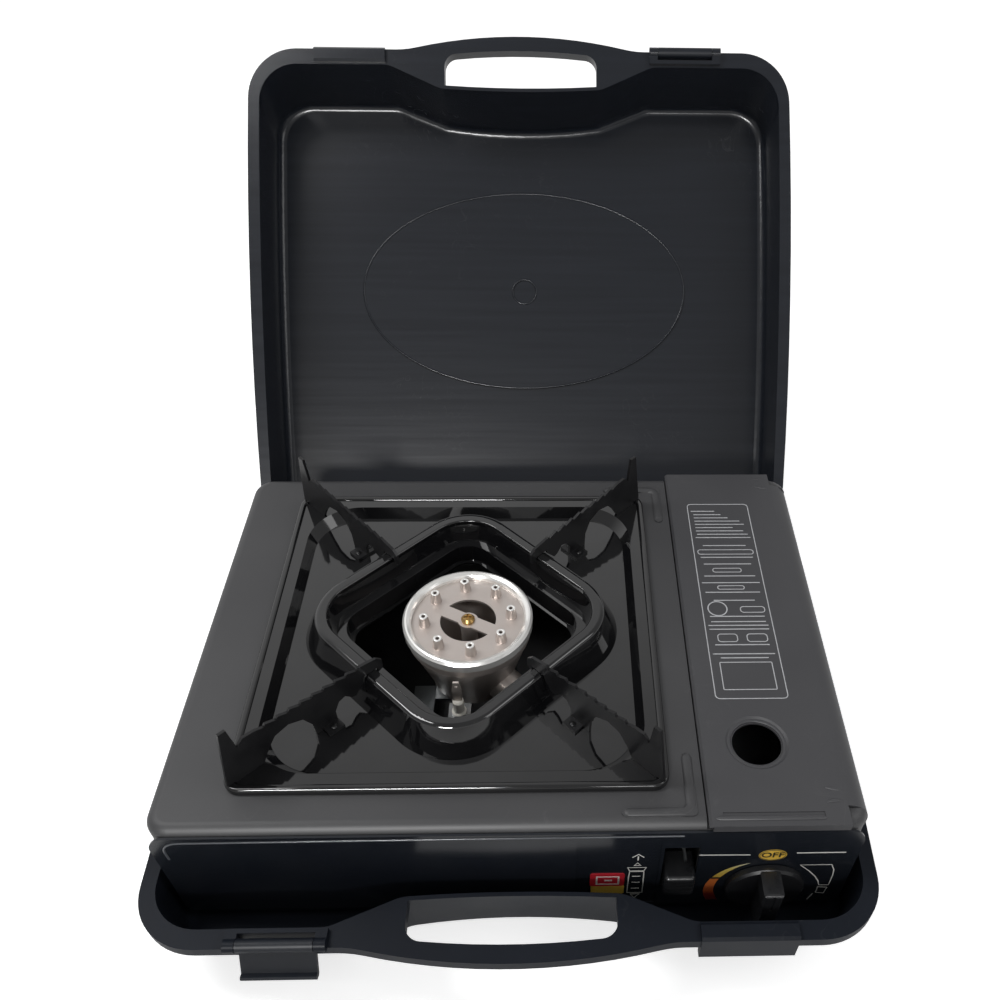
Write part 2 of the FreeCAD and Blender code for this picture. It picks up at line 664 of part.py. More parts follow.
def hinge_pins():
    reach = KNUCKLE_SHORT / 2 + KNUCKLE_GAP + KNUCKLE_LONG
    pins = []
    for centre in (-HINGE_STATION_X, HINGE_STATION_X):
        shank = rod(HINGE_PIN_RADIUS, (centre - reach - 1, CASE_HINGE_Y, CASE_DEPTH),
                    (centre + reach, CASE_HINGE_Y, CASE_DEPTH))
        head = rod(HINGE_PIN_RADIUS + 1.3, (centre - reach - 2.2, CASE_HINGE_Y, CASE_DEPTH),
                   (centre - reach - 1, CASE_HINGE_Y, CASE_DEPTH))
        pins.append(fused([shank, head]))
    return Part.makeCompound(pins)


# Stove body

def body_block(inset, z0, top_z):
    """Outer form of the pressed housing, moved in by inset on every side."""
    wire = rounded_rect(0, (WALL_FRONT_Y + REAR_Y) / 2, HALF_BODY - inset, (REAR_Y - WALL_FRONT_Y) / 2 - inset,
                        BODY_CORNER - inset, z0)
    block = prism(wire, top_z - z0)
    top = edges_where(block, lambda edge: edge.BoundBox.ZMin > top_z - 0.01)
    return block.makeFillet(BODY_TOP_ROUND - inset, top)


def raised_rib(points, width, height):
    """Bead pressed up in the top plate along straight legs with round ends."""
    parts = []
    for start, end in zip(points, points[1:]):
        for x, y in (start, end):
            parts.append(Part.makeCylinder(width / 2, height, Vector(x, y, PLATE_Z - 0.3)))
        x0, x1 = min(start[0], end[0]), max(start[0], end[0])
        y0, y1 = min(start[1], end[1]), max(start[1], end[1])
        half = width / 2
        if x1 - x0 > y1 - y0:
            parts.append(box(x0, x1, y0 - half, y1 + half, PLATE_Z - 0.3, PLATE_Z - 0.3 + height))
        else:
            parts.append(box(x0 - half, x1 + half, y0, y1, PLATE_Z - 0.3, PLATE_Z - 0.3 + height))
    return fused(parts)


def vent_row(centre_x, centre_y, z0, z1):
    slots = []
    first = centre_y - VENT_PITCH * (VENT_COUNT - 1) / 2
    for index in range(VENT_COUNT):
        y = first + index * VENT_PITCH
        wire = rounded_rect(centre_x, y, VENT_LENGTH / 2, VENT_WIDTH / 2, VENT_WIDTH / 2 - 0.1, z0)
        slots.append(prism(wire, z1 - z0))
    return slots


def body_shell():
    outside = body_block(0.0, BODY_BASE_Z, PLATE_Z)
    inside = body_block(SHEET, BODY_BASE_Z - 1, PLATE_Z - SHEET)
    end_y = COVER_END_Y + 0.2
    far = HALF_BODY + 5
    cuts = [
        inside,
        prism(pan_square(TOP_HOLE_HALF, TOP_HOLE_CORNER, PLATE_Z - 5), 10),
        box(COMPARTMENT_X, far, -end_y, end_y, SIDE_WALL_TOP_Z, PLATE_Z + 5),
        box(COMPARTMENT_X, COVER_NOTCH_X, -far, far, PANEL_TOP_Z, PLATE_Z + 5),
        box(SLOT_X[0], SLOT_X[1], WALL_FRONT_Y - 5, WALL_FRONT_Y + 5, SLOT_Z[0], SLOT_Z[1]),
        rod(SHAFT_RADIUS + 1.0, (KNOB_X, WALL_FRONT_Y - 5, KNOB_Z), (KNOB_X, WALL_FRONT_Y + 5, KNOB_Z)),
    ]
    shell = outside.cut(Part.makeCompound(cuts))
    edge_flange = box(COMPARTMENT_X - SHEET, COMPARTMENT_X, WALL_FRONT_Y + BODY_CORNER, REAR_Y - BODY_CORNER,
                      PLATE_Z - 6, PLATE_Z - 0.5)
    shell = shell.fuse(edge_flange)
    rib_x = COMPARTMENT_X - 6.5
    rib_end_x = COMPARTMENT_X - 37.5
    front_rib = raised_rib([(rib_x, FRONT_Y + 22.8), (rib_x, FRONT_Y + 9.3), (rib_end_x, FRONT_Y + 9.3)], 5.0, 0.9)
    rear_rib = raised_rib([(rib_x, REAR_Y - 41.8), (rib_x, REAR_Y - 13.3), (rib_end_x, REAR_Y - 13.3)], 5.0, 0.9)
    for index in range(4):
        z = 24.0 + index * 9.0
        wire_cut = box(-60.0, -10.0, REAR_Y - 5, REAR_Y + 5, z, z + VENT_WIDTH)
        shell = shell.cut(wire_cut)
    return fused([shell, front_rib, rear_rib])


def panel_outline(y0, y1, inset):
    """Front panel form: square below, round at its two upper corners."""
    block = box(-PANEL_HALF_WIDTH + inset, PANEL_HALF_WIDTH - inset, y0, y1, PANEL_BOTTOM_Z, PANEL_TOP_Z - inset)
    upper = edges_where(block, lambda edge: edge.BoundBox.ZMin > PANEL_TOP_Z - inset - 0.01
                        and edge.BoundBox.XLength < 0.01)
    return block.makeFillet(PANEL_CORNER - inset, upper)


def front_panel():
    panel = panel_outline(FRONT_Y, FRONT_Y + PANEL_THICKNESS, 0.0)
    recess = box(*LABEL_RECESS_X, FRONT_Y - 1, FRONT_Y + LABEL_RECESS_DEPTH, *LABEL_RECESS_Z)
    slot = box(SLOT_X[0], SLOT_X[1], FRONT_Y - 1, FRONT_Y + 5, SLOT_Z[0], SLOT_Z[1])
    shaft = rod(SHAFT_RADIUS + 1.0, (KNOB_X, FRONT_Y - 1, KNOB_Z), (KNOB_X, FRONT_Y + 5, KNOB_Z))
    return panel.cut(Part.makeCompound([recess, slot, shaft]))


def base_plate():
    gap = SHEET + SEAT_GAP
    outer = body_block_straight(gap, BODY_BASE_Z, BODY_BASE_Z + BASE_FLANGE)
    inner = body_block_straight(gap + SHEET, BODY_BASE_Z + SHEET, BODY_BASE_Z + BASE_FLANGE + 1)
    plate = outer.cut(inner)
    holes = vent_row(PAN_X - 62, 0, 0, 20) + vent_row(PAN_X + 72, 0, 0, 20)
    for x, y in base_screw_places():
        holes.append(rod(1.6, (x, y, 0), (x, y, 20)))
    return plate.cut(Part.makeCompound(holes))


def body_block_straight(inset, z0, z1):
    wire = rounded_rect(0, (WALL_FRONT_Y + REAR_Y) / 2, HALF_BODY - inset, (REAR_Y - WALL_FRONT_Y) / 2 - inset,
                        BODY_CORNER - inset, z0)
    return prism(wire, z1 - z0)


def foot_places():
    return [(sx * FOOT_X, sy * FOOT_Y) for sx in (-1, 1) for sy in (-1, 1)]


def base_screw_places():
    return [(sx * SCREW_X, sy * SCREW_Y) for sx in (-1, 1) for sy in (-1, 1)]


def rubber_feet():
    outline = [(0, FOOT_BOTTOM_Z), (FOOT_RADIUS - 1.5, FOOT_BOTTOM_Z), (FOOT_RADIUS - 0.7, FOOT_BOTTOM_Z + 0.8),
               (FOOT_RADIUS, BODY_BASE_Z - SEAT_GAP), (0, BODY_BASE_Z - SEAT_GAP)]
    return Part.makeCompound([turned(outline, x, y) for x, y in foot_places()])


def base_screws():
    screws = []
    for x, y in base_screw_places():
        top = BODY_BASE_Z + 7
        under = BODY_BASE_Z - SEAT_GAP
        outline = [(0, under - 2.0), (2.0, under - 2.0), (2.8, under - 1.2), (2.8, under), (1.5, under), (1.5, top), (0, top)]
        screws.append(turned(outline, x, y))
    return Part.makeCompound(screws)


# Drip pan and its supports

def drip_pan():
    top = BORDER_Z
    bead_low = PLATE_Z + LIFT_GAP
    bead = prism(pan_square(PAN_HALF, PAN_CORNER, bead_low), PAN_BEAD_HEIGHT)
    bead_top = bead_low + PAN_BEAD_HEIGHT
    bead = bead.cut(prism(pan_square(PAN_HALF - PAN_BEAD, PAN_CORNER - 2, bead_low), PAN_BEAD_HEIGHT))
    crown = edges_where(bead, lambda edge: edge.BoundBox.ZMin > bead_top - 0.01)
    bead = bead.makeFillet(1.6, crown)
    border = prism(pan_square(PAN_HALF - PAN_BEAD + 0.5, PAN_CORNER - 2, top - SHEET), SHEET)
    border = border.cut(prism(pan_square(PAN_WELL_HALF, PAN_WELL_CORNER, top - 3), 5))
    wall = loft([pan_square(PAN_FLOOR_HALF + SHEET, PAN_WELL_CORNER, DISH_Z - SHEET),
                 pan_square(PAN_WELL_HALF + SHEET, PAN_WELL_CORNER + 1, top)])
    wall = wall.cut(loft([pan_square(PAN_FLOOR_HALF, PAN_WELL_CORNER, DISH_Z - SHEET),
                          pan_square(PAN_WELL_HALF, PAN_WELL_CORNER + 1, top)]))
    floor = prism(pan_square(PAN_FLOOR_HALF + SHEET / 2, PAN_WELL_CORNER, DISH_Z - SHEET), SHEET)
    floor = floor.cut(prism(pan_diamond(COLLAR_BASE_APOTHEM - SHEET, DISH_Z - 5), 10))
    slope = loft([pan_diamond(COLLAR_BASE_APOTHEM, DISH_Z - SHEET), pan_diamond(RIDGE_APOTHEM + 0.4, RIDGE_Z - 1)])
    slope = slope.cut(loft([pan_diamond(COLLAR_BASE_APOTHEM - 1.3, DISH_Z - SHEET),
                            pan_diamond(RIDGE_APOTHEM - 0.9, RIDGE_Z - 1)]))
    crown_inner = RIDGE_APOTHEM + 0.6 - RIDGE_WIDTH
    ridge = prism(pan_diamond(RIDGE_APOTHEM + 0.6, RIDGE_Z - 3.4), 3.4)
    ridge = ridge.makeFillet(2.8, edges_where(ridge, lambda edge: edge.BoundBox.ZMin > RIDGE_Z - 0.01))
    under = prism(pan_diamond(RIDGE_APOTHEM - 0.7, RIDGE_Z - 4.4), 3.3)
    under = under.makeFillet(1.8, edges_where(under, lambda edge: edge.BoundBox.ZMin > RIDGE_Z - 1.11))
    ridge = ridge.cut(under.cut(prism(pan_diamond(crown_inner + 1.3, RIDGE_Z - 5), 6)))
    core = prism(pan_diamond(crown_inner, RIDGE_Z - 4), 5)
    ridge = ridge.cut(core)
    ridge = ridge.makeFillet(1.0, edges_where(ridge, lambda edge: on_diamond(edge, crown_inner, RIDGE_Z)))
    step_one_z = RIDGE_Z - STEP_ONE_BELOW_RIDGE
    step_two_z = RIDGE_Z - STEP_TWO_BELOW_RIDGE
    inner_wall = loft([pan_diamond(STEP_ONE_APOTHEM + 1.2, step_one_z - SHEET),
                       pan_diamond(crown_inner + 1.2, RIDGE_Z - 3.0)])
    inner_wall = inner_wall.cut(loft([pan_diamond(STEP_ONE_APOTHEM, step_one_z - SHEET),
                                      pan_diamond(crown_inner, RIDGE_Z - 3.0)]))
    first_step = ring_plate(STEP_ONE_APOTHEM + 0.8, STEP_ONE_APOTHEM - STEP_WIDTH, step_one_z)
    low_wall = loft([pan_diamond(STEP_TWO_APOTHEM + 1.2, step_two_z - SHEET),
                     pan_diamond(STEP_ONE_APOTHEM - STEP_WIDTH + 1.0, step_one_z - 0.2)])
    low_wall = low_wall.cut(loft([pan_diamond(STEP_TWO_APOTHEM, step_two_z - SHEET),
                                  pan_diamond(STEP_ONE_APOTHEM - STEP_WIDTH - 0.2, step_one_z - 0.2)]))
    last_step = ring_plate(STEP_TWO_APOTHEM + 0.8, OPENING_APOTHEM, step_two_z)
    return fused([bead, border, wall, floor, slope, ridge, inner_wall, first_step, low_wall, last_step])


def on_diamond(edge, apothem, z):
    """Whether an edge lies on the collar's outline of this size at height z."""
    if edge.BoundBox.ZMax > z + 0.01 or edge.BoundBox.ZMin < z - 0.01:
        return False
    line = pan_diamond(apothem, z)
    middle = edge.valueAt((edge.FirstParameter + edge.LastParameter) / 2)
    return line.distToShape(Part.Vertex(middle))[0] < 0.02


def ring_plate(outer, inner, top_z):
    """Flat ring of the collar between two diamond outlines."""
    plate = prism(pan_diamond(outer, top_z - SHEET), SHEET)
    return plate.cut(prism(pan_diamond(inner, top_z - SHEET), SHEET))


def support_outline():
    """Outline of one pan support in (distance from the pan's middle, z)."""
    corner = (PAN_HALF - PAN_CORNER) * math.sqrt(2) + PAN_CORNER
    bead_radius = PAN_CORNER - 2.0
    bead_inner = (PAN_HALF - PAN_BEAD - bead_radius) * math.sqrt(2) + bead_radius - 0.4
    border_start = (PAN_WELL_HALF - PAN_WELL_CORNER) * math.sqrt(2) + PAN_WELL_CORNER + 1.0
    bead_z = PLATE_Z + LIFT_GAP + PAN_BEAD_HEIGHT + SEAT_GAP
    ear_z = PLATE_Z + SUPPORT_EAR_ABOVE
    top_z = PLATE_Z + SUPPORT_TOP_ABOVE
    inner_z = PLATE_Z + SUPPORT_INNER_ABOVE
    border_z = BORDER_Z + SEAT_GAP
    floor_z = DISH_Z + SEAT_GAP
    first = corner - 22.0
    last = RIDGE_APOTHEM + 2.5
    pitch = (first - last) / SUPPORT_TEETH
    teeth = []
    for index in range(SUPPORT_TEETH):
        start = first - index * pitch
        rise = top_z + (inner_z - top_z) * index / SUPPORT_TEETH
        teeth += [(start, rise), (start - pitch * 0.7, rise - SUPPORT_TOOTH_DEPTH), (start - pitch * 0.85, rise - 0.2)]
    tip = SUPPORT_HOOK_TIP
    inside = RIDGE_APOTHEM - RIDGE_WIDTH - 0.6
    outside = RIDGE_APOTHEM + 1.3
    middle_foot = COLLAR_BASE_APOTHEM + SUPPORT_FOOT_OUT
    outer_foot = border_start + 0.6
    span = outer_foot - middle_foot
    return [
        (outer_foot, border_z), (bead_inner, border_z), (bead_inner, bead_z), (corner - 0.6, bead_z),
        (corner - 6.2, ear_z), (corner - 10.2, ear_z), (corner - 12.0, top_z - 3.0), (corner - 15.5, top_z + 0.6),
        *teeth,
        (last, inner_z), (tip + 3.0, inner_z - 2.0), (tip, inner_z - 5.0), (tip, inner_z - 11.0),
        (tip + 3.4, inner_z - 12.4), (inside, RIDGE_Z - 2.4), (inside, RIDGE_Z + 0.3), (outside, RIDGE_Z + 0.3),
        (outside + 1.2, RIDGE_Z - 3.0), (COLLAR_BASE_APOTHEM - 0.6, DISH_Z + 8.0),
        (COLLAR_BASE_APOTHEM + 2.0, DISH_Z + 9.0), (COLLAR_BASE_APOTHEM + 5.5, DISH_Z + 13.0),
        (middle_foot - 3.0, DISH_Z + 12.0), (middle_foot, DISH_Z + 7.0), (middle_foot, floor_z),
        (middle_foot + 0.308 * span, floor_z), (middle_foot + 0.32 * span, DISH_Z + 9.0),
        (middle_foot + 0.415 * span, DISH_Z + 17.0), (middle_foot + 0.593 * span, DISH_Z + 20.5),
        (middle_foot + 0.782 * span, DISH_Z + 19.0), (middle_foot + 0.905 * span, DISH_Z + 13.0),
    ]


def pan_support(angle_deg):
    plate = plate_xz(support_outline(), -PLATE_STEEL / 2, PLATE_STEEL / 2)
    foot = COLLAR_BASE_APOTHEM + SUPPORT_FOOT_OUT
    floor_z = DISH_Z + SEAT_GAP
    tab = box(foot, foot + SUPPORT_FOOT_LENGTH, -7.0, 7.0, floor_z, floor_z + PLATE_STEEL)
    arm = fused([plate, tab])
    arm.rotate(Vector(0, 0, 0), ALONG_Z, angle_deg)
    arm.translate(Vector(PAN_X, PAN_Y, 0))
    return arm


# Burner

def burner_ring():
    top = BURNER_TOP_Z
    low = RING_BOTTOM_Z
    outline = [
        (RING_OUTER_RADIUS - 1.0, low), (RING_OUTER_RADIUS, low + 1.0), (RING_OUTER_RADIUS, top - 1.6),
        (RING_OUTER_RADIUS - 1.2, top - 0.3), (RING_OUTER_RADIUS - 2.2, top), (RING_INNER_RADIUS + 1.0, top - 0.9),
        (RING_INNER_RADIUS, top - 2.0), (RING_INNER_RADIUS, DISC_Z - DISC_THICKNESS - 0.8),
        (RING_INNER_RADIUS + 1.8, DISC_Z - DISC_THICKNESS - 0.8), (RING_INNER_RADIUS + 1.8, low),
    ]
    return turned(outline, BURNER_X, BURNER_Y)


def burner_disc():
    low = DISC_Z - DISC_THICKNESS
    disc = Part.makeCylinder(RING_INNER_RADIUS - SEAT_GAP, DISC_THICKNESS, Vector(BURNER_X, BURNER_Y, low))
    opening = Part.makeCylinder(DISC_OPENING_RADIUS, DISC_THICKNESS, Vector(BURNER_X, BURNER_Y, low))
    bar = box(-DISC_OPENING_RADIUS - 1, DISC_OPENING_RADIUS + 1, -CROSSBAR_WIDTH / 2, CROSSBAR_WIDTH / 2, 0, DISC_THICKNESS)
    bar = bar.fuse(Part.makeCylinder(CROSSBAR_WIDTH / 2 + 1.6, DISC_THICKNESS))
    bar.rotate(Vector(0, 0, 0), ALONG_Z, CROSSBAR_DEG)
    bar.translate(Vector(BURNER_X, BURNER_Y, low))
    plate = fused([disc.cut(opening), bar])
    holes = [Part.makeCylinder(1.6, 20, Vector(BURNER_X, BURNER_Y, low - 5))]
    nipples = []
    for index in range(NIPPLE_COUNT):
        angle = math.radians(NIPPLE_FIRST_DEG + index * 360.0 / NIPPLE_COUNT)
        x = BURNER_X + NIPPLE_CIRCLE * math.cos(angle)
        y = BURNER_Y + NIPPLE_CIRCLE * math.sin(angle)
        base = Vector(x, y, DISC_Z - 0.2)
        nipples.append(Part.makeCone(NIPPLE_BASE_RADIUS, NIPPLE_TOP_RADIUS, NIPPLE_HEIGHT + 0.2, base))
        holes.append(Part.makeCylinder(NIPPLE_HOLE_RADIUS, 20, Vector(x, y, low - 5)))
    return fused([plate] + nipples).cut(Part.makeCompound(holes))


def burner_screw():
    low = DISC_Z + SEAT_GAP
    outline = [(0, low - 12), (1.5, low - 12), (1.5, low), (BURNER_SCREW_RADIUS, low), (BURNER_SCREW_RADIUS, low + 1.2),
               (BURNER_SCREW_RADIUS - 1.2, low + 2.4), (0, low + 2.8)]
    screw = turned(outline, BURNER_X, BURNER_Y)
    cross = [box(-2.3, 2.3, -0.45, 0.45, 0, 3), box(-0.45, 0.45, -2.3, 2.3, 0, 3)]
    cross = cross[0].fuse(cross[1])
    cross.translate(Vector(BURNER_X, BURNER_Y, low + 1.3))
    return screw.cut(cross)


def burner_bowl():
    """Mixing bowl: a turned cup with a post for the screw and a side inlet."""
    top = RING_BOTTOM_Z - SEAT_GAP
    rim = RING_OUTER_RADIUS - 1.4
    low = BOWL_BOTTOM_Z
    foot = BOWL_BOTTOM_RADIUS
    wall = BOWL_WALL
    outline = [
        (4.0, low), (foot, low), (foot + 3.0, low + 3.0), (foot + 5.0, low + 12.0), (rim - 2.0, top - 10.0), (rim, top - 5.0),
        (rim, top), (rim - wall, top), (rim - wall, top - 5.0), (rim - wall - 2.0, top - 9.4),
        (foot + 5.0 - wall, low + 12.0), (foot + 3.0 - wall, low + 3.4), (foot - 1.0, low + wall), (4.0, low + wall),
    ]
    bowl = turned(outline, BURNER_X, BURNER_Y)
    post = Part.makeCylinder(4.5, DISC_Z - DISC_THICKNESS - SEAT_GAP - low, Vector(BURNER_X, BURNER_Y, low))
    start, direction = venturi_axis()
    inlet_start = start + direction * (venturi_length() - 1.5)
    inlet = Part.makeCylinder(VENTURI_RADIUS + VENTURI_WALL + 1.4, 8.0, inlet_start, direction)
    bore = Part.makeCylinder(VENTURI_RADIUS, 14.0, inlet_start - direction * 3.0, direction)
    seat = Part.makeCylinder(VENTURI_RADIUS + VENTURI_WALL + SEAT_GAP, 5.0, inlet_start - direction * 3.0, direction)
    hollow = turned([(0, low + wall), (foot - 1.0, low + wall), (foot + 3.0 - wall, low + 3.4),
                     (foot + 5.0 - wall, low + 12.0), (rim - wall - 2.0, top - 9.4), (0, top - 9.4)], BURNER_X, BURNER_Y)
    inlet = inlet.cut(hollow)
    tapped = Part.makeCylinder(1.5 + SEAT_GAP, 16.0, Vector(BURNER_X, BURNER_Y, DISC_Z - DISC_THICKNESS - 15.0))
    return fused([bowl, inlet]).cut(bore).cut(seat).fuse(post).cut(tapped).removeSplitter()


def venturi_axis():
    start = Vector(*VENTURI_START)
    end = Vector(BURNER_X, BURNER_Y, BOWL_BOTTOM_Z + BOWL_INLET_ABOVE)
    direction = end - start
    direction.normalize()
    return start, direction


def venturi_length():
    start = Vector(*VENTURI_START)
    end = Vector(BURNER_X, BURNER_Y, BOWL_BOTTOM_Z + BOWL_INLET_ABOVE)
    return (end - start).Length - BOWL_BOTTOM_RADIUS - 10.0


def venturi_tube():
    """Mixing tube with a flared mouth that faces the gas injector."""
    start, direction = venturi_axis()
    length = venturi_length()
    outer = VENTURI_RADIUS + VENTURI_WALL
    tube = Part.makeCylinder(outer, length, start, direction)
    mouth = Part.makeCone(outer + 3.0, outer, 9.0, start, direction)
    bore = Part.makeCylinder(VENTURI_RADIUS, length + 10, start - direction, direction)
    flare = Part.makeCone(VENTURI_RADIUS + 3.0, VENTURI_RADIUS, 9.0, start, direction)
    tube = fused([tube, mouth]).cut(bore).cut(flare)
    air = Part.makeCylinder(3.0, 60.0, start + direction * 22.0 - Vector(0, 0, 30), ALONG_Z)
    return tube.cut(air)


def burner_bracket():
    """Bent strap that carries the bowl above the base plate."""
    base = BODY_BASE_Z + SHEET + SEAT_GAP
    top = BOWL_BOTTOM_Z - SEAT_GAP
    half = 26.0
    outline = [
        (-half - 14, base), (-half, base), (-half + 6, top - 1.6), (half - 6, top - 1.6), (half, base), (half + 14, base),
        (half + 14, base + 1.6), (half + 1.3, base + 1.6), (half - 4.6, top), (-half + 4.6, top), (-half - 1.3, base + 1.6),
        (-half - 14, base + 1.6),
    ]
    strap = plate_xz([(BURNER_X + x, z) for x, z in outline], BURNER_Y - 17.0, BURNER_Y + 17.0)
    window = box(BURNER_X - half - 5, BURNER_X + half + 5, BURNER_Y - 7.0, BURNER_Y + 7.0, base + 10, top - 12)
    return strap.cut(window)


def electrode():
    """Steel tab whose pierced tip stands in the spark gap before the ring."""
    x = ELECTRODE_X
    half = ELECTRODE_WIDTH / 2
    z0 = INSULATOR_TOP_Z + SEAT_GAP
    top = ELECTRODE_TOP_Z
    tab = plate_xz([(x - half, z0), (x + half, z0), (x + half, top - 6), (x + half - 1.0, top), (x - half + 1.0, top),
                    (x - half, top - 6)], ELECTRODE_Y - 0.6, ELECTRODE_Y + 0.6)
    hole = rod(0.9, (x, ELECTRODE_Y - 2, top - 3), (x, ELECTRODE_Y + 2, top - 3))
    return tab.cut(hole)


def electrode_insulator():
    r = INSULATOR_RADIUS
    top = INSULATOR_TOP_Z
    low = top - INSULATOR_LENGTH
    outline = [(0, low), (r - 0.8, low), (r - 0.8, low + 8), (r + 1.0, low + 8), (r + 1.0, low + 10.5), (r, low + 11.5),
               (r, top - 1.0), (r - 1.0, top), (0, top)]
    return turned(outline, ELECTRODE_X, ELECTRODE_Y)


def electrode_bracket():
    """Standing angle on the base plate whose shelf holds the insulator."""
    seat = INSULATOR_TOP_Z - INSULATOR_LENGTH + 8 - SEAT_GAP
    low = BODY_BASE_Z + SHEET + SEAT_GAP
    x0 = ELECTRODE_X - 6
    x1 = ELECTRODE_X + 6
    back = ELECTRODE_Y + 7.0
    shelf = box(x0, x1, ELECTRODE_Y - 6, back, seat - 1.2, seat)
    leg = box(x0, x1, back - 1.2, back, low, seat - 0.6)
    foot = box(x0, x1, back - 0.6, back + 12.0, low, low + 1.2)
    hole = rod(INSULATOR_RADIUS - 0.8 + SEAT_GAP, (ELECTRODE_X, ELECTRODE_Y, seat - 5), (ELECTRODE_X, ELECTRODE_Y, seat + 5))
    return fused([shelf, leg, foot]).cut(hole)


# Gas side

def heat_shield():
    """Upright sheet between the burner and the cartridge."""
    x0 = HEAT_SHIELD_X
    x1 = x0 + SHEET
    y0 = WALL_FRONT_Y + SHEET + SEAT_GAP
    y1 = REAR_Y - SHEET - SEAT_GAP
    z0 = BODY_BASE_Z + SHEET + SEAT_GAP
    z1 = PLATE_Z - 6.5
    edge = 2 * SHEET + 2 * SEAT_GAP
    front = WALL_FRONT_Y + edge
    rear = REAR_Y - edge
    step_z = BODY_BASE_Z + BASE_FLANGE + 0.5
    sheet = plate_yz([(front, z0), (rear, z0), (rear, step_z), (y1, step_z), (y1, z1), (y0, z1), (y0, step_z),
                      (front, step_z)], x0, x1)
    foot = box(x1 - 0.2, x1 + 9.0, front + 12, rear - 12, z0, z0 + SHEET)
    sheet = sheet.fuse(foot)
    start, direction = venturi_axis()
    crossing = start - direction * ((x0 - start.x) / -direction.x)
    jet = rod(6.2, (x0 - 5, crossing.y, crossing.z), (x1 + 5, crossing.y, crossing.z))
    pivot = rod(LEVER_PIN_RADIUS + SEAT_GAP, (x0 - 5, LEVER_PIVOT_Y, LEVER_PIVOT_Z), (x1 + 5, LEVER_PIVOT_Y, LEVER_PIVOT_Z))
    half_swing = math.radians(LEVER_SWING_DEG / 2)
    travel = 2 * DRIVE_ARM * math.sin(half_swing)
    slot_y = LEVER_PIVOT_Y - travel / 2 - DRIVE_PIN_RADIUS - 0.6
    slot = box(x0 - 5, x1 + 5, slot_y, slot_y + travel + 2 * DRIVE_PIN_RADIUS + 1.2,
               LEVER_PIVOT_Z + DRIVE_ARM - DRIVE_PIN_RADIUS - 1.0, LEVER_PIVOT_Z + DRIVE_ARM + DRIVE_PIN_RADIUS + 0.8)
    lead_y, lead_z = LEAD_CROSSING
    lead = rod(LEAD_RADIUS + 1.8, (x0 - 5, lead_y, lead_z), (x1 + 5, lead_y, lead_z))
    return sheet.cut(Part.makeCompound([jet, pivot, slot, lead])).removeSplitter()


def regulator_body():
    """Turned regulator housing with the valve block under its front half."""
    r = REGULATOR_RADIUS
    y0 = REGULATOR_FRONT_Y
    y1 = REGULATOR_REAR_Y
    middle = (y0 + y1) / 2
    outline = [(0, middle + 0.1), (r + 2.0, middle + 0.1), (r + 2.0, middle + 2.0), (r, middle + 2.5), (r, y1 - 2.0),
               (r - 1.5, y1), (0, y1)]
    housing = turned_y(outline, CARTRIDGE_X, CARTRIDGE_Z)
    return housing


def regulator_cap():
    r = REGULATOR_RADIUS
    y0 = REGULATOR_FRONT_Y
    middle = (REGULATOR_FRONT_Y + REGULATOR_REAR_Y) / 2
    outline = [(0, y0), (r - 8.0, y0), (r - 6.0, y0 + 3.0), (r - 1.5, y0 + 4.0), (r, middle - 2.5), (r + 2.0, middle - 2.0),
               (r + 2.0, middle), (0, middle)]
    return turned_y(outline, CARTRIDGE_X, CARTRIDGE_Z)


def valve_block():
    """Valve block under the regulator: the knob shaft's bore and gas outlet."""
    x0 = KNOB_X - VALVE_HALF_X
    x1 = KNOB_X + VALVE_HALF_X
    z0 = KNOB_Z - VALVE_HALF_Z
    z1 = KNOB_Z + VALVE_HALF_Z
    block = box(x0, x1, VALVE_FRONT_Y, VALVE_REAR_Y, z0, z1)
    block = block.makeChamfer(1.5, edges_where(block, lambda edge: edge.BoundBox.YLength > 1))
    collar = rod(SHAFT_RADIUS + 3.0, (KNOB_X, VALVE_FRONT_Y - 4.0, KNOB_Z), (KNOB_X, VALVE_FRONT_Y + 1.0, KNOB_Z))
    bore = rod(SHAFT_RADIUS + RUN_FIT, (KNOB_X, VALVE_FRONT_Y - 10, KNOB_Z), (KNOB_X, VALVE_FRONT_Y + 9.0, KNOB_Z))
    clear = turned_y([(0, REGULATOR_FRONT_Y - 0.1), (REGULATOR_RADIUS + 2.2, REGULATOR_FRONT_Y - 0.1),
                      (REGULATOR_RADIUS + 2.2, REGULATOR_REAR_Y + 20), (0, REGULATOR_REAR_Y + 20)], CARTRIDGE_X, CARTRIDGE_Z)
    return fused([block, collar]).cut(bore).cut(clear)


def knob_shaft():
    shaft = rod(SHAFT_RADIUS, (KNOB_X, FRONT_Y - 6.0, KNOB_Z), (KNOB_X, VALVE_FRONT_Y + 8.5, KNOB_Z))
    flat = box(KNOB_X + 2.2, KNOB_X + 6, FRONT_Y - 7, FRONT_Y - 0.4, KNOB_Z - 6, KNOB_Z + 6)
    return shaft.cut(flat)


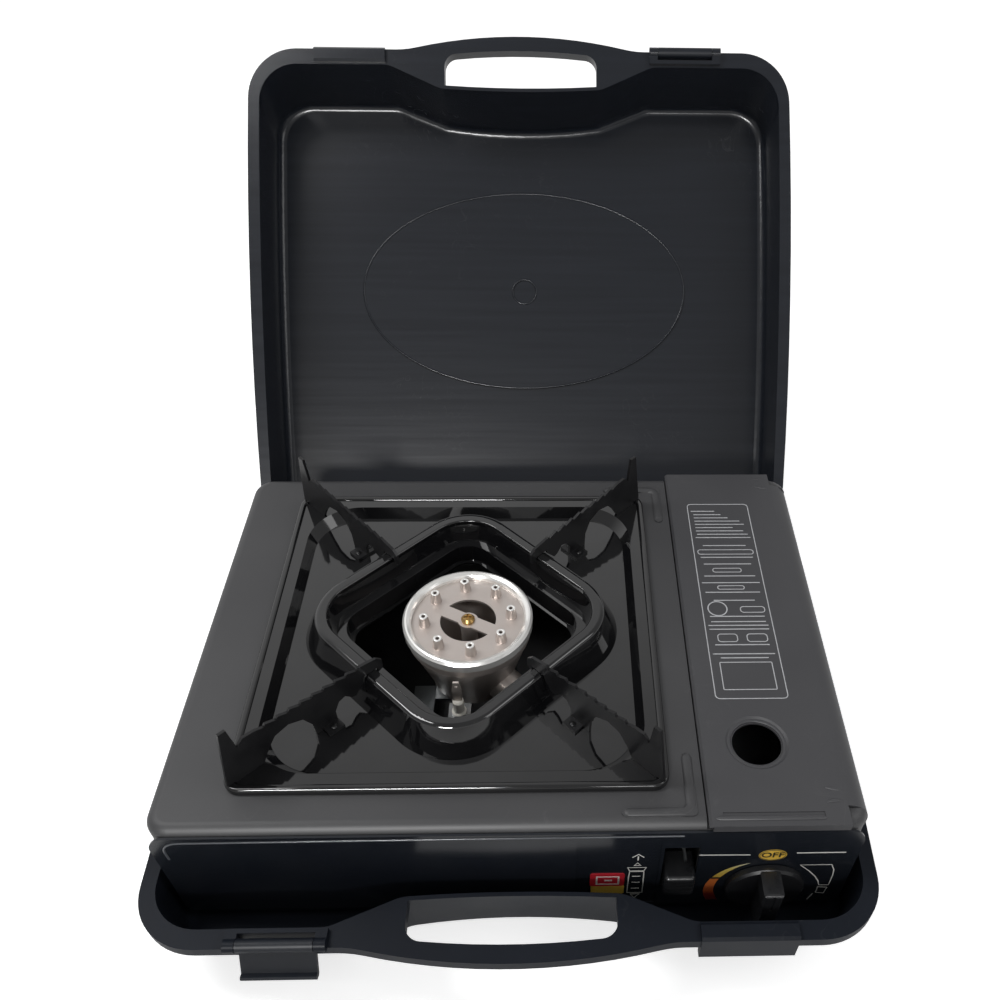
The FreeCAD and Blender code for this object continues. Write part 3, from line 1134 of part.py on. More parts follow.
def control_knob():
    """Round skirt with a waisted grip bar across it."""
    back = FRONT_Y - 0.5
    face = back - KNOB_SKIRT_DEPTH
    tip = FRONT_Y - KNOB_REACH
    r = KNOB_SKIRT_RADIUS
    skirt = turned_y([(0, back), (r, back), (r, face + 1.2), (r - 1.2, face), (0, face)], KNOB_X, KNOB_Z)
    half = KNOB_GRIP_WIDTH / 2
    block = box(KNOB_X - half, KNOB_X + half, tip, face + 0.5, KNOB_Z - r + 0.4, KNOB_Z + r - 0.4)
    crown = edges_where(block, lambda edge: edge.BoundBox.YMax < tip + 0.01)
    block = block.makeFillet(2.0, crown)
    waist_radius = 44.0
    waists = [Part.makeCylinder(waist_radius, 40, Vector(KNOB_X + side * (half - 1.2 + waist_radius), tip - 5, KNOB_Z), ALONG_Y)
              for side in (-1, 1)]
    block = block.cut(Part.makeCompound([waist.common(box(KNOB_X - 20, KNOB_X + 20, tip - 5, face, KNOB_Z - 14, KNOB_Z + 14))
                                         for waist in waists]))
    edge = turned_y([(r - 0.2, face + 0.5), (r - 0.2, tip - 5), (r + 30, tip - 5), (r + 30, face + 0.5)], KNOB_X, KNOB_Z)
    block = block.cut(edge)
    pointer = box(KNOB_X - 0.6, KNOB_X + 0.6, tip - 1, tip + 0.5, KNOB_Z + 5, KNOB_Z + r)
    bore = rod(SHAFT_RADIUS + SEAT_GAP, (KNOB_X, FRONT_Y - 6.2, KNOB_Z), (KNOB_X, FRONT_Y + 5, KNOB_Z))
    key = box(KNOB_X + 2.2 + SEAT_GAP, KNOB_X + 6, FRONT_Y - 6.2, FRONT_Y - 0.5, KNOB_Z - 6, KNOB_Z + 6)
    return fused([skirt, block]).cut(pointer).cut(bore.cut(key))


def cartridge_socket():
    """Ring and centre nozzle that the cartridge's valve pushes onto."""
    y0 = REGULATOR_REAR_Y + SEAT_GAP
    y1 = y0 + SOCKET_LENGTH
    outline = [(2.4, y0), (SOCKET_RADIUS + 2.0, y0), (SOCKET_RADIUS + 2.0, y0 + 1.5), (SOCKET_RADIUS, y0 + 2.0),
               (SOCKET_RADIUS, y1), (SOCKET_RADIUS - 2.0, y1), (SOCKET_RADIUS - 2.0, y0 + 2.0), (2.4, y0 + 2.0)]
    return turned_y(outline, CARTRIDGE_X, CARTRIDGE_Z)


def socket_nozzle():
    y0 = REGULATOR_REAR_Y + SEAT_GAP
    outline = [(0, y0), (2.35, y0), (2.35, y0 + 2.2), (3.2, y0 + 2.3), (3.2, y0 + 3.6), (1.6, y0 + 4.6), (1.6, y0 + 8.0),
               (0, y0 + 8.0)]
    return turned_y(outline, CARTRIDGE_X, CARTRIDGE_Z)


def gas_jet():
    """Brass injector screwed into the pipe's end, facing the tube's mouth."""
    start, direction = venturi_axis()
    tip = start - direction * 1.0
    root = tip - direction * 9.0
    hexagon = Part.makeCylinder(4.2, 5.0, root, direction)
    nose = Part.makeCone(3.2, 1.2, 4.0, root + direction * 5.0, direction)
    hole = Part.makeCylinder(0.5, 20.0, root - direction * 2.0, direction)
    return fused([hexagon, nose]).cut(hole)


def gas_pipe():
    """Brass outlet pipe from the valve block to the jet at the heat shield."""
    start, direction = venturi_axis()
    root = start - direction * (10.0 + SEAT_GAP)
    elbow = root - direction * 12.0
    x0 = KNOB_X - VALVE_HALF_X - SEAT_GAP
    outlet = (x0, VALVE_FRONT_Y + 8.0, KNOB_Z - 5.6)
    turn = (x0 - 8.0, VALVE_FRONT_Y + 8.0, KNOB_Z - 5.6)
    return routed_tube([outlet, turn, tuple(elbow), tuple(root)], GAS_PIPE_RADIUS)


def regulator_bracket():
    """Sheet bracket that holds the regulator and valve on the base plate."""
    z0 = BODY_BASE_Z + SHEET + SEAT_GAP
    x0 = KNOB_X - VALVE_HALF_X - 6.0
    x1 = KNOB_X + VALVE_HALF_X + 6.0
    top = KNOB_Z - VALVE_HALF_Z - SEAT_GAP
    y0 = VALVE_FRONT_Y
    y1 = VALVE_REAR_Y
    parts = [box(x0, x1, y0, y1, top - 1.2, top)]
    for side, x in ((1, x0), (-1, x1 - 1.2)):
        parts.append(box(x, x + 1.2, y0, y1, z0, top))
        foot0 = x - 4.6 if side > 0 else x
        parts.append(box(foot0, foot0 + 5.8, y0, y1, z0, z0 + 1.2))
    return fused(parts)


def notch_guide():
    """Prong that enters the notch in the cartridge's collar."""
    y0 = REGULATOR_REAR_Y + SEAT_GAP
    z = CARTRIDGE_Z + SOCKET_RADIUS + 4.6
    base = box(CARTRIDGE_X - 4.0, CARTRIDGE_X + 4.0, y0, y0 + 1.6, z - 2.2, z + 2.2)
    prong = box(CARTRIDGE_X - 2.2, CARTRIDGE_X + 2.2, y0, y0 + 9.0, z - 0.4, z + 1.2)
    return fused([base, prong])


# Cartridge lock

def lock_lever():
    """Rocking arm behind the panel, with the drive pin above its pivot."""
    x1 = HEAT_SHIELD_X - 6.0
    x0 = x1 - LEVER_THICKNESS
    nose_y = FRONT_Y + PANEL_THICKNESS + 2.0
    z = LEVER_PIVOT_Z
    half = math.radians(LEVER_SWING_DEG / 2)
    drop = (LEVER_PIVOT_Y - nose_y) * math.tan(half)
    outline = [
        (nose_y, z - drop - 7.0), (nose_y + 10.0, z - drop - 7.0), (LEVER_PIVOT_Y - 8.0, z - 7.5), (LEVER_PIVOT_Y + 4.0, z - 7.5),
        (LEVER_PIVOT_Y + 7.5, z - 3.0), (LEVER_PIVOT_Y + 7.5, z + 3.0), (LEVER_PIVOT_Y + 3.0, z + DRIVE_ARM + 4.0),
        (LEVER_PIVOT_Y - 5.0, z + DRIVE_ARM + 4.0), (LEVER_PIVOT_Y - 9.0, z + 7.0), (nose_y + 12.0, z - drop + 7.0),
        (nose_y, z - drop + 7.0),
    ]
    plate = plate_yz(outline, x0, x1)
    pivot = rod(LEVER_PIN_RADIUS + RUN_FIT, (x0 - 2, LEVER_PIVOT_Y, z), (x1 + 2, LEVER_PIVOT_Y, z))
    hub = rod(LEVER_PIN_RADIUS + 2.0, (x0 - 1.0, LEVER_PIVOT_Y, z), (x1 + 1.0, LEVER_PIVOT_Y, z))
    plate = fused([plate, hub]).cut(pivot)
    lean = drive_pin_rest()
    pin_y, pin_z = lean
    drive = rod(DRIVE_PIN_RADIUS, (x0, pin_y, pin_z), (HEAT_SHIELD_X + SHEET + 3.4, pin_y, pin_z))
    return fused([plate, drive])


def drive_pin_rest():
    """Place of the drive pin with the lever down: leaning to the front."""
    half = math.radians(LEVER_SWING_DEG / 2)
    return (LEVER_PIVOT_Y - DRIVE_ARM * math.sin(half), LEVER_PIVOT_Z + DRIVE_ARM * math.cos(half))


def lever_cap():
    """Moulded thumb piece that shows in the panel's slot."""
    middle_x = (SLOT_X[0] + SLOT_X[1]) / 2
    nose_y = FRONT_Y + PANEL_THICKNESS + 2.0
    half = math.radians(LEVER_SWING_DEG / 2)
    z = LEVER_PIVOT_Z - (LEVER_PIVOT_Y - FRONT_Y) * math.tan(half)
    x0 = middle_x - LEVER_CAP_WIDTH / 2
    x1 = middle_x + LEVER_CAP_WIDTH / 2
    front = FRONT_Y - LEVER_CAP_REACH
    z0 = z - LEVER_CAP_HEIGHT / 2
    z1 = z + LEVER_CAP_HEIGHT / 2
    block = box(x0, x1, front, nose_y + 6.0, z0, z1)
    block = block.makeFillet(2.2, edges_where(block, lambda edge: edge.BoundBox.YMax < front + 0.01
                                              or edge.BoundBox.YLength > 3))
    arm1 = HEAT_SHIELD_X - 6.0
    arm0 = arm1 - LEVER_THICKNESS
    pocket = box(arm0 - SEAT_GAP, arm1 + SEAT_GAP, nose_y - SEAT_GAP, nose_y + 8.0, z0 - 1, z1 + 1)
    grip = [box(x0 - 1, x1 + 1, front - 1, front + 0.7, z0 + 5.0 + step, z0 + 6.0 + step) for step in (0.0, 4.0, 8.0)]
    return block.cut(Part.makeCompound([pocket] + grip))


def lever_pin():
    """Fixed pivot: riveted in the heat shield, headed beyond the lever."""
    x1 = HEAT_SHIELD_X + SHEET + 1.0
    x0 = HEAT_SHIELD_X - 6.0 - LEVER_THICKNESS - 1.0 - 0.4
    y = LEVER_PIVOT_Y
    z = LEVER_PIVOT_Z
    pin = rod(LEVER_PIN_RADIUS, (x0 - 1.5, y, z), (x1, y, z))
    head = rod(LEVER_PIN_RADIUS + 2.0, (x0 - 1.5, y, z), (x0, y, z))
    collar = rod(LEVER_PIN_RADIUS + 1.5, (HEAT_SHIELD_X - 4.6, y, z), (HEAT_SHIELD_X - SEAT_GAP, y, z))
    return fused([pin, head, collar])


def sliding_fork():
    """Slide beside the heat shield whose bent fork pulls the collar forward."""
    x0 = HEAT_SHIELD_X + SHEET + 1.6
    x1 = x0 + 1.5
    pin_y, pin_z = drive_pin_rest()
    y0 = FORK_Y - 12.0
    y1 = y0 + SLIDE_LENGTH
    z1 = pin_z + 6.0
    z0 = z1 - SLIDE_HEIGHT
    strip = box(x0, x1, y0, y1, z0, z1)
    arm = plate_xz([(x0, z0), (x0 + 16.0, z0 - 6.0), (x0 + 22.0, z0 + 2.0), (x0 + 18.0, z0 + 8.0), (x0 + 9.5, z1 - 5.0),
                    (x0 + 9.5, z1), (x0, z1)], FORK_Y, FORK_Y + 1.5)
    bowl = rod(14.5, (CARTRIDGE_X, FORK_Y - 5, CARTRIDGE_Z), (CARTRIDGE_X, FORK_Y + 5, CARTRIDGE_Z))
    slot = box(x0 - 1, x1 + 1, pin_y - DRIVE_PIN_RADIUS - 0.1, pin_y + DRIVE_PIN_RADIUS + 0.1, pin_z - 3.0, pin_z + 3.2)
    return fused([strip, arm]).cut(bowl).cut(slot)


def slide_guides():
    """Two rails on the heat shield, and the tab that the spring rests on."""
    x0 = HEAT_SHIELD_X + SHEET + SEAT_GAP
    pin_y, pin_z = drive_pin_rest()
    z1 = pin_z + 6.0
    z0 = z1 - SLIDE_HEIGHT
    y0 = FORK_Y + 8.0
    y1 = FORK_Y + SLIDE_LENGTH - 8.0
    rails = []
    for low, lip in ((z0 - 2.2, z0 + 1.6), (z1 + 0.3, z1 - 1.6)):
        up = lip > low
        base0 = low if up else low
        rails.append(box(x0, x0 + 4.6, y0, y1, base0, base0 + 1.9))
        lip0 = min(low + 1.0, lip)
        lip1 = max(low + 1.0, lip)
        rails.append(box(x0 + 3.4, x0 + 4.6, y0, y1, lip0, lip1))
    tab = box(x0 + 3.6, SPRING_X + 3.0, SPRING_SEAT_Y, SPRING_SEAT_Y + 1.2, SPRING_Z - 3.5, z1 + 1.6)
    upper = fused(rails[2:] + [tab])
    lower = fused(rails[:2])
    return Part.makeCompound([lower, upper])


def return_spring():
    """Coil spring between the fixed tab and the fork's slide."""
    y1 = SPRING_SEAT_Y
    helix = Part.makeHelix(SPRING_LENGTH / SPRING_COILS, SPRING_LENGTH, SPRING_RADIUS)
    section = Part.Wire(Part.Circle(Vector(SPRING_RADIUS, 0, 0), ALONG_Y, SPRING_WIRE).toShape())
    coil = Part.Wire(helix).makePipeShell([section], True, True)
    coil.rotate(Vector(0, 0, 0), ALONG_X, 90)
    coil.translate(Vector(SPRING_X, y1 - SPRING_WIRE - SEAT_GAP, SPRING_Z))
    return coil


def cartridge_cradle():
    """Curved seat under the cartridge, on two legs."""
    r = CARTRIDGE_RADIUS + 0.5
    y0 = FRONT_Y + 78.8
    y1 = REAR_Y - 28.8
    z0 = BODY_BASE_Z + SHEET + SEAT_GAP
    low = CARTRIDGE_Z - r - 1.2
    block = box(CARTRIDGE_X - 20, CARTRIDGE_X + 20, y0, y1, z0, low + 9.0)
    bowl = rod(r, (CARTRIDGE_X, y0 - 1, CARTRIDGE_Z), (CARTRIDGE_X, y1 + 1, CARTRIDGE_Z))
    under = rod(r + 1.2, (CARTRIDGE_X, y0 - 1, CARTRIDGE_Z), (CARTRIDGE_X, y1 + 1, CARTRIDGE_Z))
    seat = block.common(under).cut(bowl)
    legs = []
    for y in (y0 + 15.0, y1 - 27.0):
        leg = box(CARTRIDGE_X - 14, CARTRIDGE_X + 14, y, y + 12.0, z0, low + 4.0)
        legs.append(leg.cut(under))
        legs[-1] = legs[-1].cut(box(CARTRIDGE_X - 9, CARTRIDGE_X + 9, y - 1, y + 13, z0 + 1.2, low - 0.6))
    return fused([seat] + legs)


def igniter():
    """Piezo igniter block beside the regulator, with its plunger nose."""
    half = IGNITER_WIDTH / 2
    y0 = VALVE_FRONT_Y
    y1 = y0 + IGNITER_LENGTH
    block = box(IGNITER_X - half, IGNITER_X + half, y0, y1, IGNITER_Z - half, IGNITER_Z + half)
    block = block.makeFillet(1.5, edges_where(block, lambda edge: edge.BoundBox.YLength > 3))
    nose = rod(3.0, (IGNITER_X, y0 - 4.0, IGNITER_Z), (IGNITER_X, y0 + 1, IGNITER_Z))
    boss_y = y1 - 3.0
    boss = rod(2.4, (IGNITER_X, boss_y, IGNITER_Z), (IGNITER_X, boss_y, IGNITER_Z - half - 2.5))
    return fused([block, nose, boss])


def igniter_bracket():
    """Shelf on the heat shield under the igniter block."""
    half = IGNITER_WIDTH / 2
    top = IGNITER_Z - half - SEAT_GAP
    y0 = VALVE_FRONT_Y + 3.0
    y1 = VALVE_FRONT_Y + IGNITER_LENGTH - 7.0
    x0 = HEAT_SHIELD_X + SHEET + SEAT_GAP
    shelf = box(x0, IGNITER_X + half - 1.0, y0, y1, top - 1.2, top)
    leaf = box(x0, x0 + 1.2, y0, y1, top - 1.2, top + 9.0)
    return fused([shelf, leaf])


def igniter_lead():
    """Wire from under the igniter, through the heat shield, to the electrode."""
    y = VALVE_FRONT_Y + IGNITER_LENGTH - 3.0
    z = IGNITER_Z - IGNITER_WIDTH / 2 - 2.5 - SEAT_GAP
    cross_y, cross_z = LEAD_CROSSING
    end_z = INSULATOR_TOP_Z - INSULATOR_LENGTH - SEAT_GAP
    points = [
        (IGNITER_X, y, z),
        (IGNITER_X, y, z - 11.4),
        (HEAT_SHIELD_X + 6.4, cross_y - 2.4, cross_z + 1.0),
        (HEAT_SHIELD_X - 8.6, cross_y + 3.6, cross_z - 2.5),
        (HEAT_SHIELD_X - 32.6, cross_y + 10.6, 17.0),
        (HEAT_SHIELD_X - 62.6, ELECTRODE_Y - 20.0, 16.0),
        (ELECTRODE_X + 31.0, ELECTRODE_Y - 17.0, 16.0),
        (ELECTRODE_X + 12.0, ELECTRODE_Y - 11.0, 20.0),
        (ELECTRODE_X, ELECTRODE_Y, 33.0),
        (ELECTRODE_X, ELECTRODE_Y, end_z),
    ]
    return routed_tube(points, LEAD_RADIUS)


# Cartridge cover

def cartridge_cover():
    """Pressed lid of the cartridge space, rounded over at its hinged edge."""
    r = COVER_ROUND
    x0 = COVER_X
    low = COVER_SKIRT_Z
    centre_x = COVER_RIGHT_X - r
    centre_z = COVER_TOP_Z - r
    y = FRONT_Y
    quarter = math.sqrt(0.5)

    def arc(radius, start_right):
        right = Vector(centre_x + radius, y, centre_z)
        top = Vector(centre_x, y, centre_z + radius)
        middle = Vector(centre_x + radius * quarter, y, centre_z + radius * quarter)
        return Part.Arc(right, middle, top).toShape() if start_right else Part.Arc(top, middle, right).toShape()

    def line(xa, za, xb, zb):
        return Part.LineSegment(Vector(xa, y, za), Vector(xb, y, zb)).toShape()

    left_low = PANEL_TOP_Z + 0.5
    outer_top = COVER_TOP_Z
    inner_top = COVER_TOP_Z - SHEET
    edges = [
        line(x0, left_low, x0, outer_top - 1.2),
        line(x0, outer_top - 1.2, x0 + 1.2, outer_top),
        line(x0 + 1.2, outer_top, centre_x, outer_top),
        arc(r, False),
        line(COVER_RIGHT_X, centre_z, COVER_RIGHT_X, low),
        line(COVER_RIGHT_X, low, COVER_RIGHT_X - SHEET, low),
        line(COVER_RIGHT_X - SHEET, low, COVER_RIGHT_X - SHEET, centre_z),
        arc(r - SHEET, True),
        line(centre_x, inner_top, x0 + 1.6, inner_top),
        line(x0 + 1.6, inner_top, x0 + SHEET, outer_top - 1.6),
        line(x0 + SHEET, outer_top - 1.6, x0 + SHEET, left_low),
        line(x0 + SHEET, left_low, x0, left_low),
    ]
    sheet = Part.Face(Part.Wire(edges)).extrude(Vector(0, BODY_DEPTH, 0))
    cuts = []
    for side in (-1, 1):
        y0 = min(side * COVER_END_Y, side * (REAR_Y + 5))
        y1 = max(side * COVER_END_Y, side * (REAR_Y + 5))
        cuts.append(box(COVER_NOTCH_X - 0.4, COVER_RIGHT_X + 5, y0, y1, 0, 200))
        stub0 = min(side * (REAR_Y - 2.2), side * (REAR_Y + 5))
        stub1 = max(side * (REAR_Y - 2.2), side * (REAR_Y + 5))
        cuts.append(box(x0 - 1, x0 + 1.2, stub0, stub1, 0, outer_top - 1.3))
    cuts.append(rod(SIGHT_RING_RADIUS, (SIGHT_X, SIGHT_Y, inner_top - 5), (SIGHT_X, SIGHT_Y, inner_top + 5)))
    bead_y = FRONT_Y + 6.3
    groove = box(x0 + 6.8, COVER_NOTCH_X - 12.3, bead_y - 1.2, bead_y + 1.2, outer_top - 0.45, outer_top + 1)
    cuts.append(groove)
    sheet = sheet.cut(Part.makeCompound(cuts))
    ring = turned([(SIGHT_RING_RADIUS + 0.4, outer_top), (SIGHT_RING_RADIUS - 0.6, outer_top),
                   (SIGHT_RADIUS + 1.2, outer_top - 1.6), (SIGHT_RADIUS, outer_top - 1.6), (SIGHT_RADIUS, outer_top - 2.6),
                   (SIGHT_RADIUS + 1.6, outer_top - 2.6), (SIGHT_RING_RADIUS + 0.4, inner_top)], SIGHT_X, SIGHT_Y)
    lips = []
    for side in (-1, 1):
        outer = side * REAR_Y
        inner = side * (REAR_Y - SHEET)
        lips.append(box(x0 + 2.0, COVER_NOTCH_X - 0.4, min(outer, inner), max(outer, inner), outer_top - COVER_LIP_DROP, inner_top + 0.2))
    ears = []
    for side in (-1, 1):
        face = side * (COVER_END_Y - 0.2)
        back = face - side * 1.2
        ear = plate_xz([(centre_x - 4, inner_top + 0.3), (centre_x + 2, inner_top + 0.3),
                        (COVER_RIGHT_X - 2.4, centre_z + 6.0), (COVER_RIGHT_X - 0.6, centre_z),
                        (COVER_HINGE_X + 4.6, COVER_HINGE_Z - 3.2), (COVER_HINGE_X, COVER_HINGE_Z - 5.2),
                        (COVER_HINGE_X - 4.6, COVER_HINGE_Z - 3.0), (centre_x - 4, centre_z + 5.0)],
                       min(face, back), max(face, back))
        hole = rod(COVER_PIN_RADIUS + RUN_FIT, (COVER_HINGE_X, min(face, back) - 1, COVER_HINGE_Z),
                   (COVER_HINGE_X, max(face, back) + 1, COVER_HINGE_Z))
        ears.append(ear.cut(hole))
    return fused([sheet, ring] + lips + ears)


def hinge_bracket(side):
    """Sheet angle inside the end wall that carries one cover pin."""
    face = side * (COVER_END_Y + 0.5)
    back = face + side * 1.2
    low = COVER_HINGE_Z - 10.0
    left = COVER_HINGE_X - 17.0
    right = HALF_BODY - SHEET - 1.6
    plate = plate_xz([(left, low), (right, low), (right, COVER_HINGE_Z + 3), (COVER_HINGE_X - 1, COVER_HINGE_Z + 5.6),
                      (COVER_HINGE_X - 6, COVER_HINGE_Z + 3), (left, low + 4)], min(face, back), max(face, back))
    wall = side * REAR_Y - side * (SHEET + SEAT_GAP) if side > 0 else WALL_FRONT_Y + SHEET + SEAT_GAP
    foot = box(left, left + 8.5, min(face, wall), max(face, wall), low, low + 1.2)
    leaf0 = min(wall, wall - side * 1.2)
    leaf = box(left, left + 8.5, leaf0, leaf0 + 1.2, low, low + 7.0)
    hole = rod(COVER_PIN_RADIUS + SEAT_GAP, (COVER_HINGE_X, min(face, back) - 1, COVER_HINGE_Z),
               (COVER_HINGE_X, max(face, back) + 1, COVER_HINGE_Z))
    return fused([plate, foot, leaf]).cut(hole)


def cover_pins():
    pins = []
    for side in (-1, 1):
        inner = side * (COVER_END_Y - 2.4)
        outer = side * (COVER_END_Y + 3.0)
        shank = rod(COVER_PIN_RADIUS, (COVER_HINGE_X, inner, COVER_HINGE_Z), (COVER_HINGE_X, outer, COVER_HINGE_Z))
        head = rod(COVER_PIN_RADIUS + 1.2, (COVER_HINGE_X, inner, COVER_HINGE_Z),
                   (COVER_HINGE_X, inner + side * 0.8, COVER_HINGE_Z))
        pins.append(fused([shank, head]))
    return Part.makeCompound(pins)


def build():
    save("case_tray", case_half(False))
    save("case_lid", to_lid(case_half(True)))
    save("case_hinge_pins", hinge_pins())
    save("tray_latch", side_latch())
    save("tray_latch_pin", latch_pin())
    save("lid_latch", to_lid(side_latch()))
    save("lid_latch_pin", to_lid(latch_pin()))
    save("body_shell", body_shell())
    save("front_panel", front_panel())
    save("base_plate", base_plate())
    save("rubber_feet", rubber_feet())
    save("base_screws", base_screws())
    save("drip_pan", drip_pan())
    corners = (("front_left", 225), ("front_right", 315), ("rear_right", 45), ("rear_left", 135))
    for name, angle in corners:
        save("pan_support_" + name, pan_support(angle))
    save("burner_ring", burner_ring())
    save("burner_nozzle_plate", burner_disc())
    save("burner_screw", burner_screw())
    save("burner_bowl", burner_bowl())
    save("venturi_tube", venturi_tube())
    save("burner_bracket", burner_bracket())
    save("igniter_electrode", electrode())
    save("electrode_insulator", electrode_insulator())
    save("electrode_bracket", electrode_bracket())
    save("heat_shield", heat_shield())
    save("regulator_body", regulator_body())
    save("regulator_cap", regulator_cap())
    save("valve_block", valve_block())
    save("knob_shaft", knob_shaft())
    save("control_knob", control_knob())
    save("cartridge_socket", cartridge_socket())
    save("socket_nozzle", socket_nozzle())
    save("gas_jet", gas_jet())
    save("gas_pipe", gas_pipe())
    save("regulator_bracket", regulator_bracket())
    save("notch_guide", notch_guide())
    save("lock_lever", lock_lever())
    save("lever_cap", lever_cap())
    save("lever_pin", lever_pin())
    save("sliding_fork", sliding_fork())
    save("slide_guides", slide_guides())
    save("return_spring", return_spring())
    save("cartridge_cradle", cartridge_cradle())
    save("piezo_igniter", igniter())
    save("igniter_bracket", igniter_bracket())
    save("igniter_lead", igniter_lead())
    save("cartridge_cover", cartridge_cover())
    save("cover_hinge_brackets", Part.makeCompound([hinge_bracket(-1), hinge_bracket(1)]))
    save("cover_hinge_pins", cover_pins())


build()
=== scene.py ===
import json
import math

import bmesh
import bpy
from mathutils import Matrix, Vector


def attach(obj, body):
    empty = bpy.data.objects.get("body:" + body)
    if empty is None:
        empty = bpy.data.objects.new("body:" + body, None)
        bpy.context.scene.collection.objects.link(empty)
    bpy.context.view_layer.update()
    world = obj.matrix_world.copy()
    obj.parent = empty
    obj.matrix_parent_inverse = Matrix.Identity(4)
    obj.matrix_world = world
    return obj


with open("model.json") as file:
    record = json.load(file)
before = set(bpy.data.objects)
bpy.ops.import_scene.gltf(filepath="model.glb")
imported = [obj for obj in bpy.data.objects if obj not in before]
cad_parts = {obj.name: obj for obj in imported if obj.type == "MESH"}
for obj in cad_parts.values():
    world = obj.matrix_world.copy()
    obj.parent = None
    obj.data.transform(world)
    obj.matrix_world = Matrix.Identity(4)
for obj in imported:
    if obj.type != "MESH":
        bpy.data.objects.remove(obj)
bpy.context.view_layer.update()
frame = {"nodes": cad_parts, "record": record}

bl_info = {
    "name": "Cartridge stove finish",
    "version": (1, 0, 0),
    "blender": (4, 5, 0),
    "location": "3D View > Sidebar > Stove",
    "description": "Dresses a flat cartridge stove in its case: paint, enamel, print and studio",
    "category": "Object",
}

MM = 0.001

# Places on the frame, in millimetres. The lid's are those of the closed lid.
PANEL_Y = -128.8
RECESS_Y = -128.3
COVER_Z = 90.0
PLATE_Z = 88.0
LID_INSIDE_Z = 91.0
PLANES = {
    "front": (1, PANEL_Y),
    "recess": (1, RECESS_Y),
    "top": (2, COVER_Z),
    "plate": (2, PLATE_Z),
    "lid": (2, LID_INSIDE_Z),
}
LID_OPEN_DEG = 132.3
CASE_HINGE = (0.0, 141.7, 47.0)
LID_MARK = (0.0, -18.3)
SIGHT_HOLE = (122.2, -81.7)
SIGHT_RING_RADIUS = 14.2
OFF_MARK = (127.1, 62.2)
PANEL_CORNER = (-155.0, 72.8)
PANEL_CORNER_RADIUS = 8.0

BURNER = (-27.0, 0.0)
NIPPLES = 8
FIRST_NIPPLE_DEG = 97.0
NIPPLE_CIRCLE = 24.0
NIPPLE_TIP_Z = 98.5

PAN_CENTRE = (-30.5, -1.0)
RIVET_Z = 86.65
RIVET_REACH = 89.6
RIVET_SPREAD = 4.0

# Pressed bead at each corner of the top plate: its bend and where its legs end
BEAD_X = 86.0
BEAD_BEND = 5.0
BEAD_FOOT_END = 53.2

# Print layers in the sticker
STICKER_LAYERS = 4.0

# Angle under which neighbouring faces are shaded as one
SMOOTH_DEG = 35.0
BEAD_SMOOTH_DEG = 60.0

# World light on everything, and what is added where the camera or a mirror sees the sky
WORLD_PLAIN = 0.42
WORLD_SEEN = 0.58

# Glow of the floor to the camera, and the share of it that mirrors get
FLOOR_SEEN = 0.62
FLOOR_MIRRORED = 0.3

# Camera that matches the photograph: place in millimetres, angles in degrees
CAMERA_PLACE = (22.73, -347.53, 477.47)
CAMERA_TILT_DEG = 46.83
CAMERA_TURN_DEG = 2.42
CAMERA_ROLL_DEG = -1.44


def hex_colour(text):
    """Linear colour with alpha from a written sRGB colour."""
    values = [int(text[i:i + 2], 16) / 255 for i in (1, 3, 5)]
    linear = [v / 12.92 if v <= 0.04045 else ((v + 0.055) / 1.055) ** 2.4 for v in values]
    return (*linear, 1.0)


def colour_property(name, description, text):
    return bpy.props.FloatVectorProperty(
        name=name, description=description, subtype="COLOR", size=4, min=0.0, max=1.0,
        default=hex_colour(text),
    )


class StoveColours(bpy.types.PropertyGroup):
    """Colours of the stove's finishes."""

    case: colour_property("Case", "Moulded plastic of the carry case", "#171a20")
    case_light: colour_property("Case streaks", "Paler flow streaks in the case's plastic", "#1d2129")
    body: colour_property("Body paint", "Powder coat of the top plate and the cartridge cover", "#242427")
    cover: colour_property("Cover paint", "Powder coat of the cartridge cover, a shade lighter", "#2b2b2f")
    panel: colour_property("Front panel", "Glossy paint of the front panel", "#171b22")
    enamel: colour_property("Enamel", "Glossy enamel of the drip pan", "#0c0c0e")
    support: colour_property("Supports", "Satin enamel of the pan supports", "#111113")
    aluminium: colour_property("Burner plate", "Satin aluminium of the nozzle plate", "#bdb5b0")
    steel: colour_property("Bright steel", "Polished steel of the burner ring", "#f4f3f0")
    zinc: colour_property("Zinc plate", "Dull zinc on the hidden brackets", "#8f9395")
    brass: colour_property("Brass", "Turned brass of the screw and jet", "#9c7c46")
    knob: colour_property("Knob", "Gloss plastic of the knob and lever cap", "#131417")
    print_white: colour_property("White print", "Screen print on the panel", "#f6f4ee")
    print_red: colour_property("Red print", "Red field of the sticker", "#d23a44")
    print_amber: colour_property("Amber print", "Yellow of the dial print", "#eec558")


class StoveSizes(bpy.types.PropertyGroup):
    """Sizes of the small pieces that are added to the frame."""

    print_height: bpy.props.FloatProperty(
        name="Print height", description="How far the screen print stands off the panel",
        subtype="DISTANCE", unit="LENGTH", default=0.00012, min=0.00005, max=0.001)
    line_width: bpy.props.FloatProperty(
        name="Line width", description="Width of the printed white lines",
        subtype="DISTANCE", unit="LENGTH", default=0.0007, min=0.0002, max=0.003)
    rivet_radius: bpy.props.FloatProperty(
        name="Rivet radius", description="Radius of the rivets in the supports' feet",
        subtype="DISTANCE", unit="LENGTH", default=0.0018, min=0.0005, max=0.004)
    bead_width: bpy.props.FloatProperty(
        name="Bead width", description="Width of the pressed corner beads in the top plate",
        subtype="DISTANCE", unit="LENGTH", default=0.0052, min=0.002, max=0.01)
    bead_height: bpy.props.FloatProperty(
        name="Bead height", description="How far the pressed corner beads stand up",
        subtype="DISTANCE", unit="LENGTH", default=0.0011, min=0.0007, max=0.003)
    floor_size: bpy.props.FloatProperty(
        name="Floor size", description="Side of the studio floor",
        subtype="DISTANCE", unit="LENGTH", default=14.0, min=2.0, max=40.0)


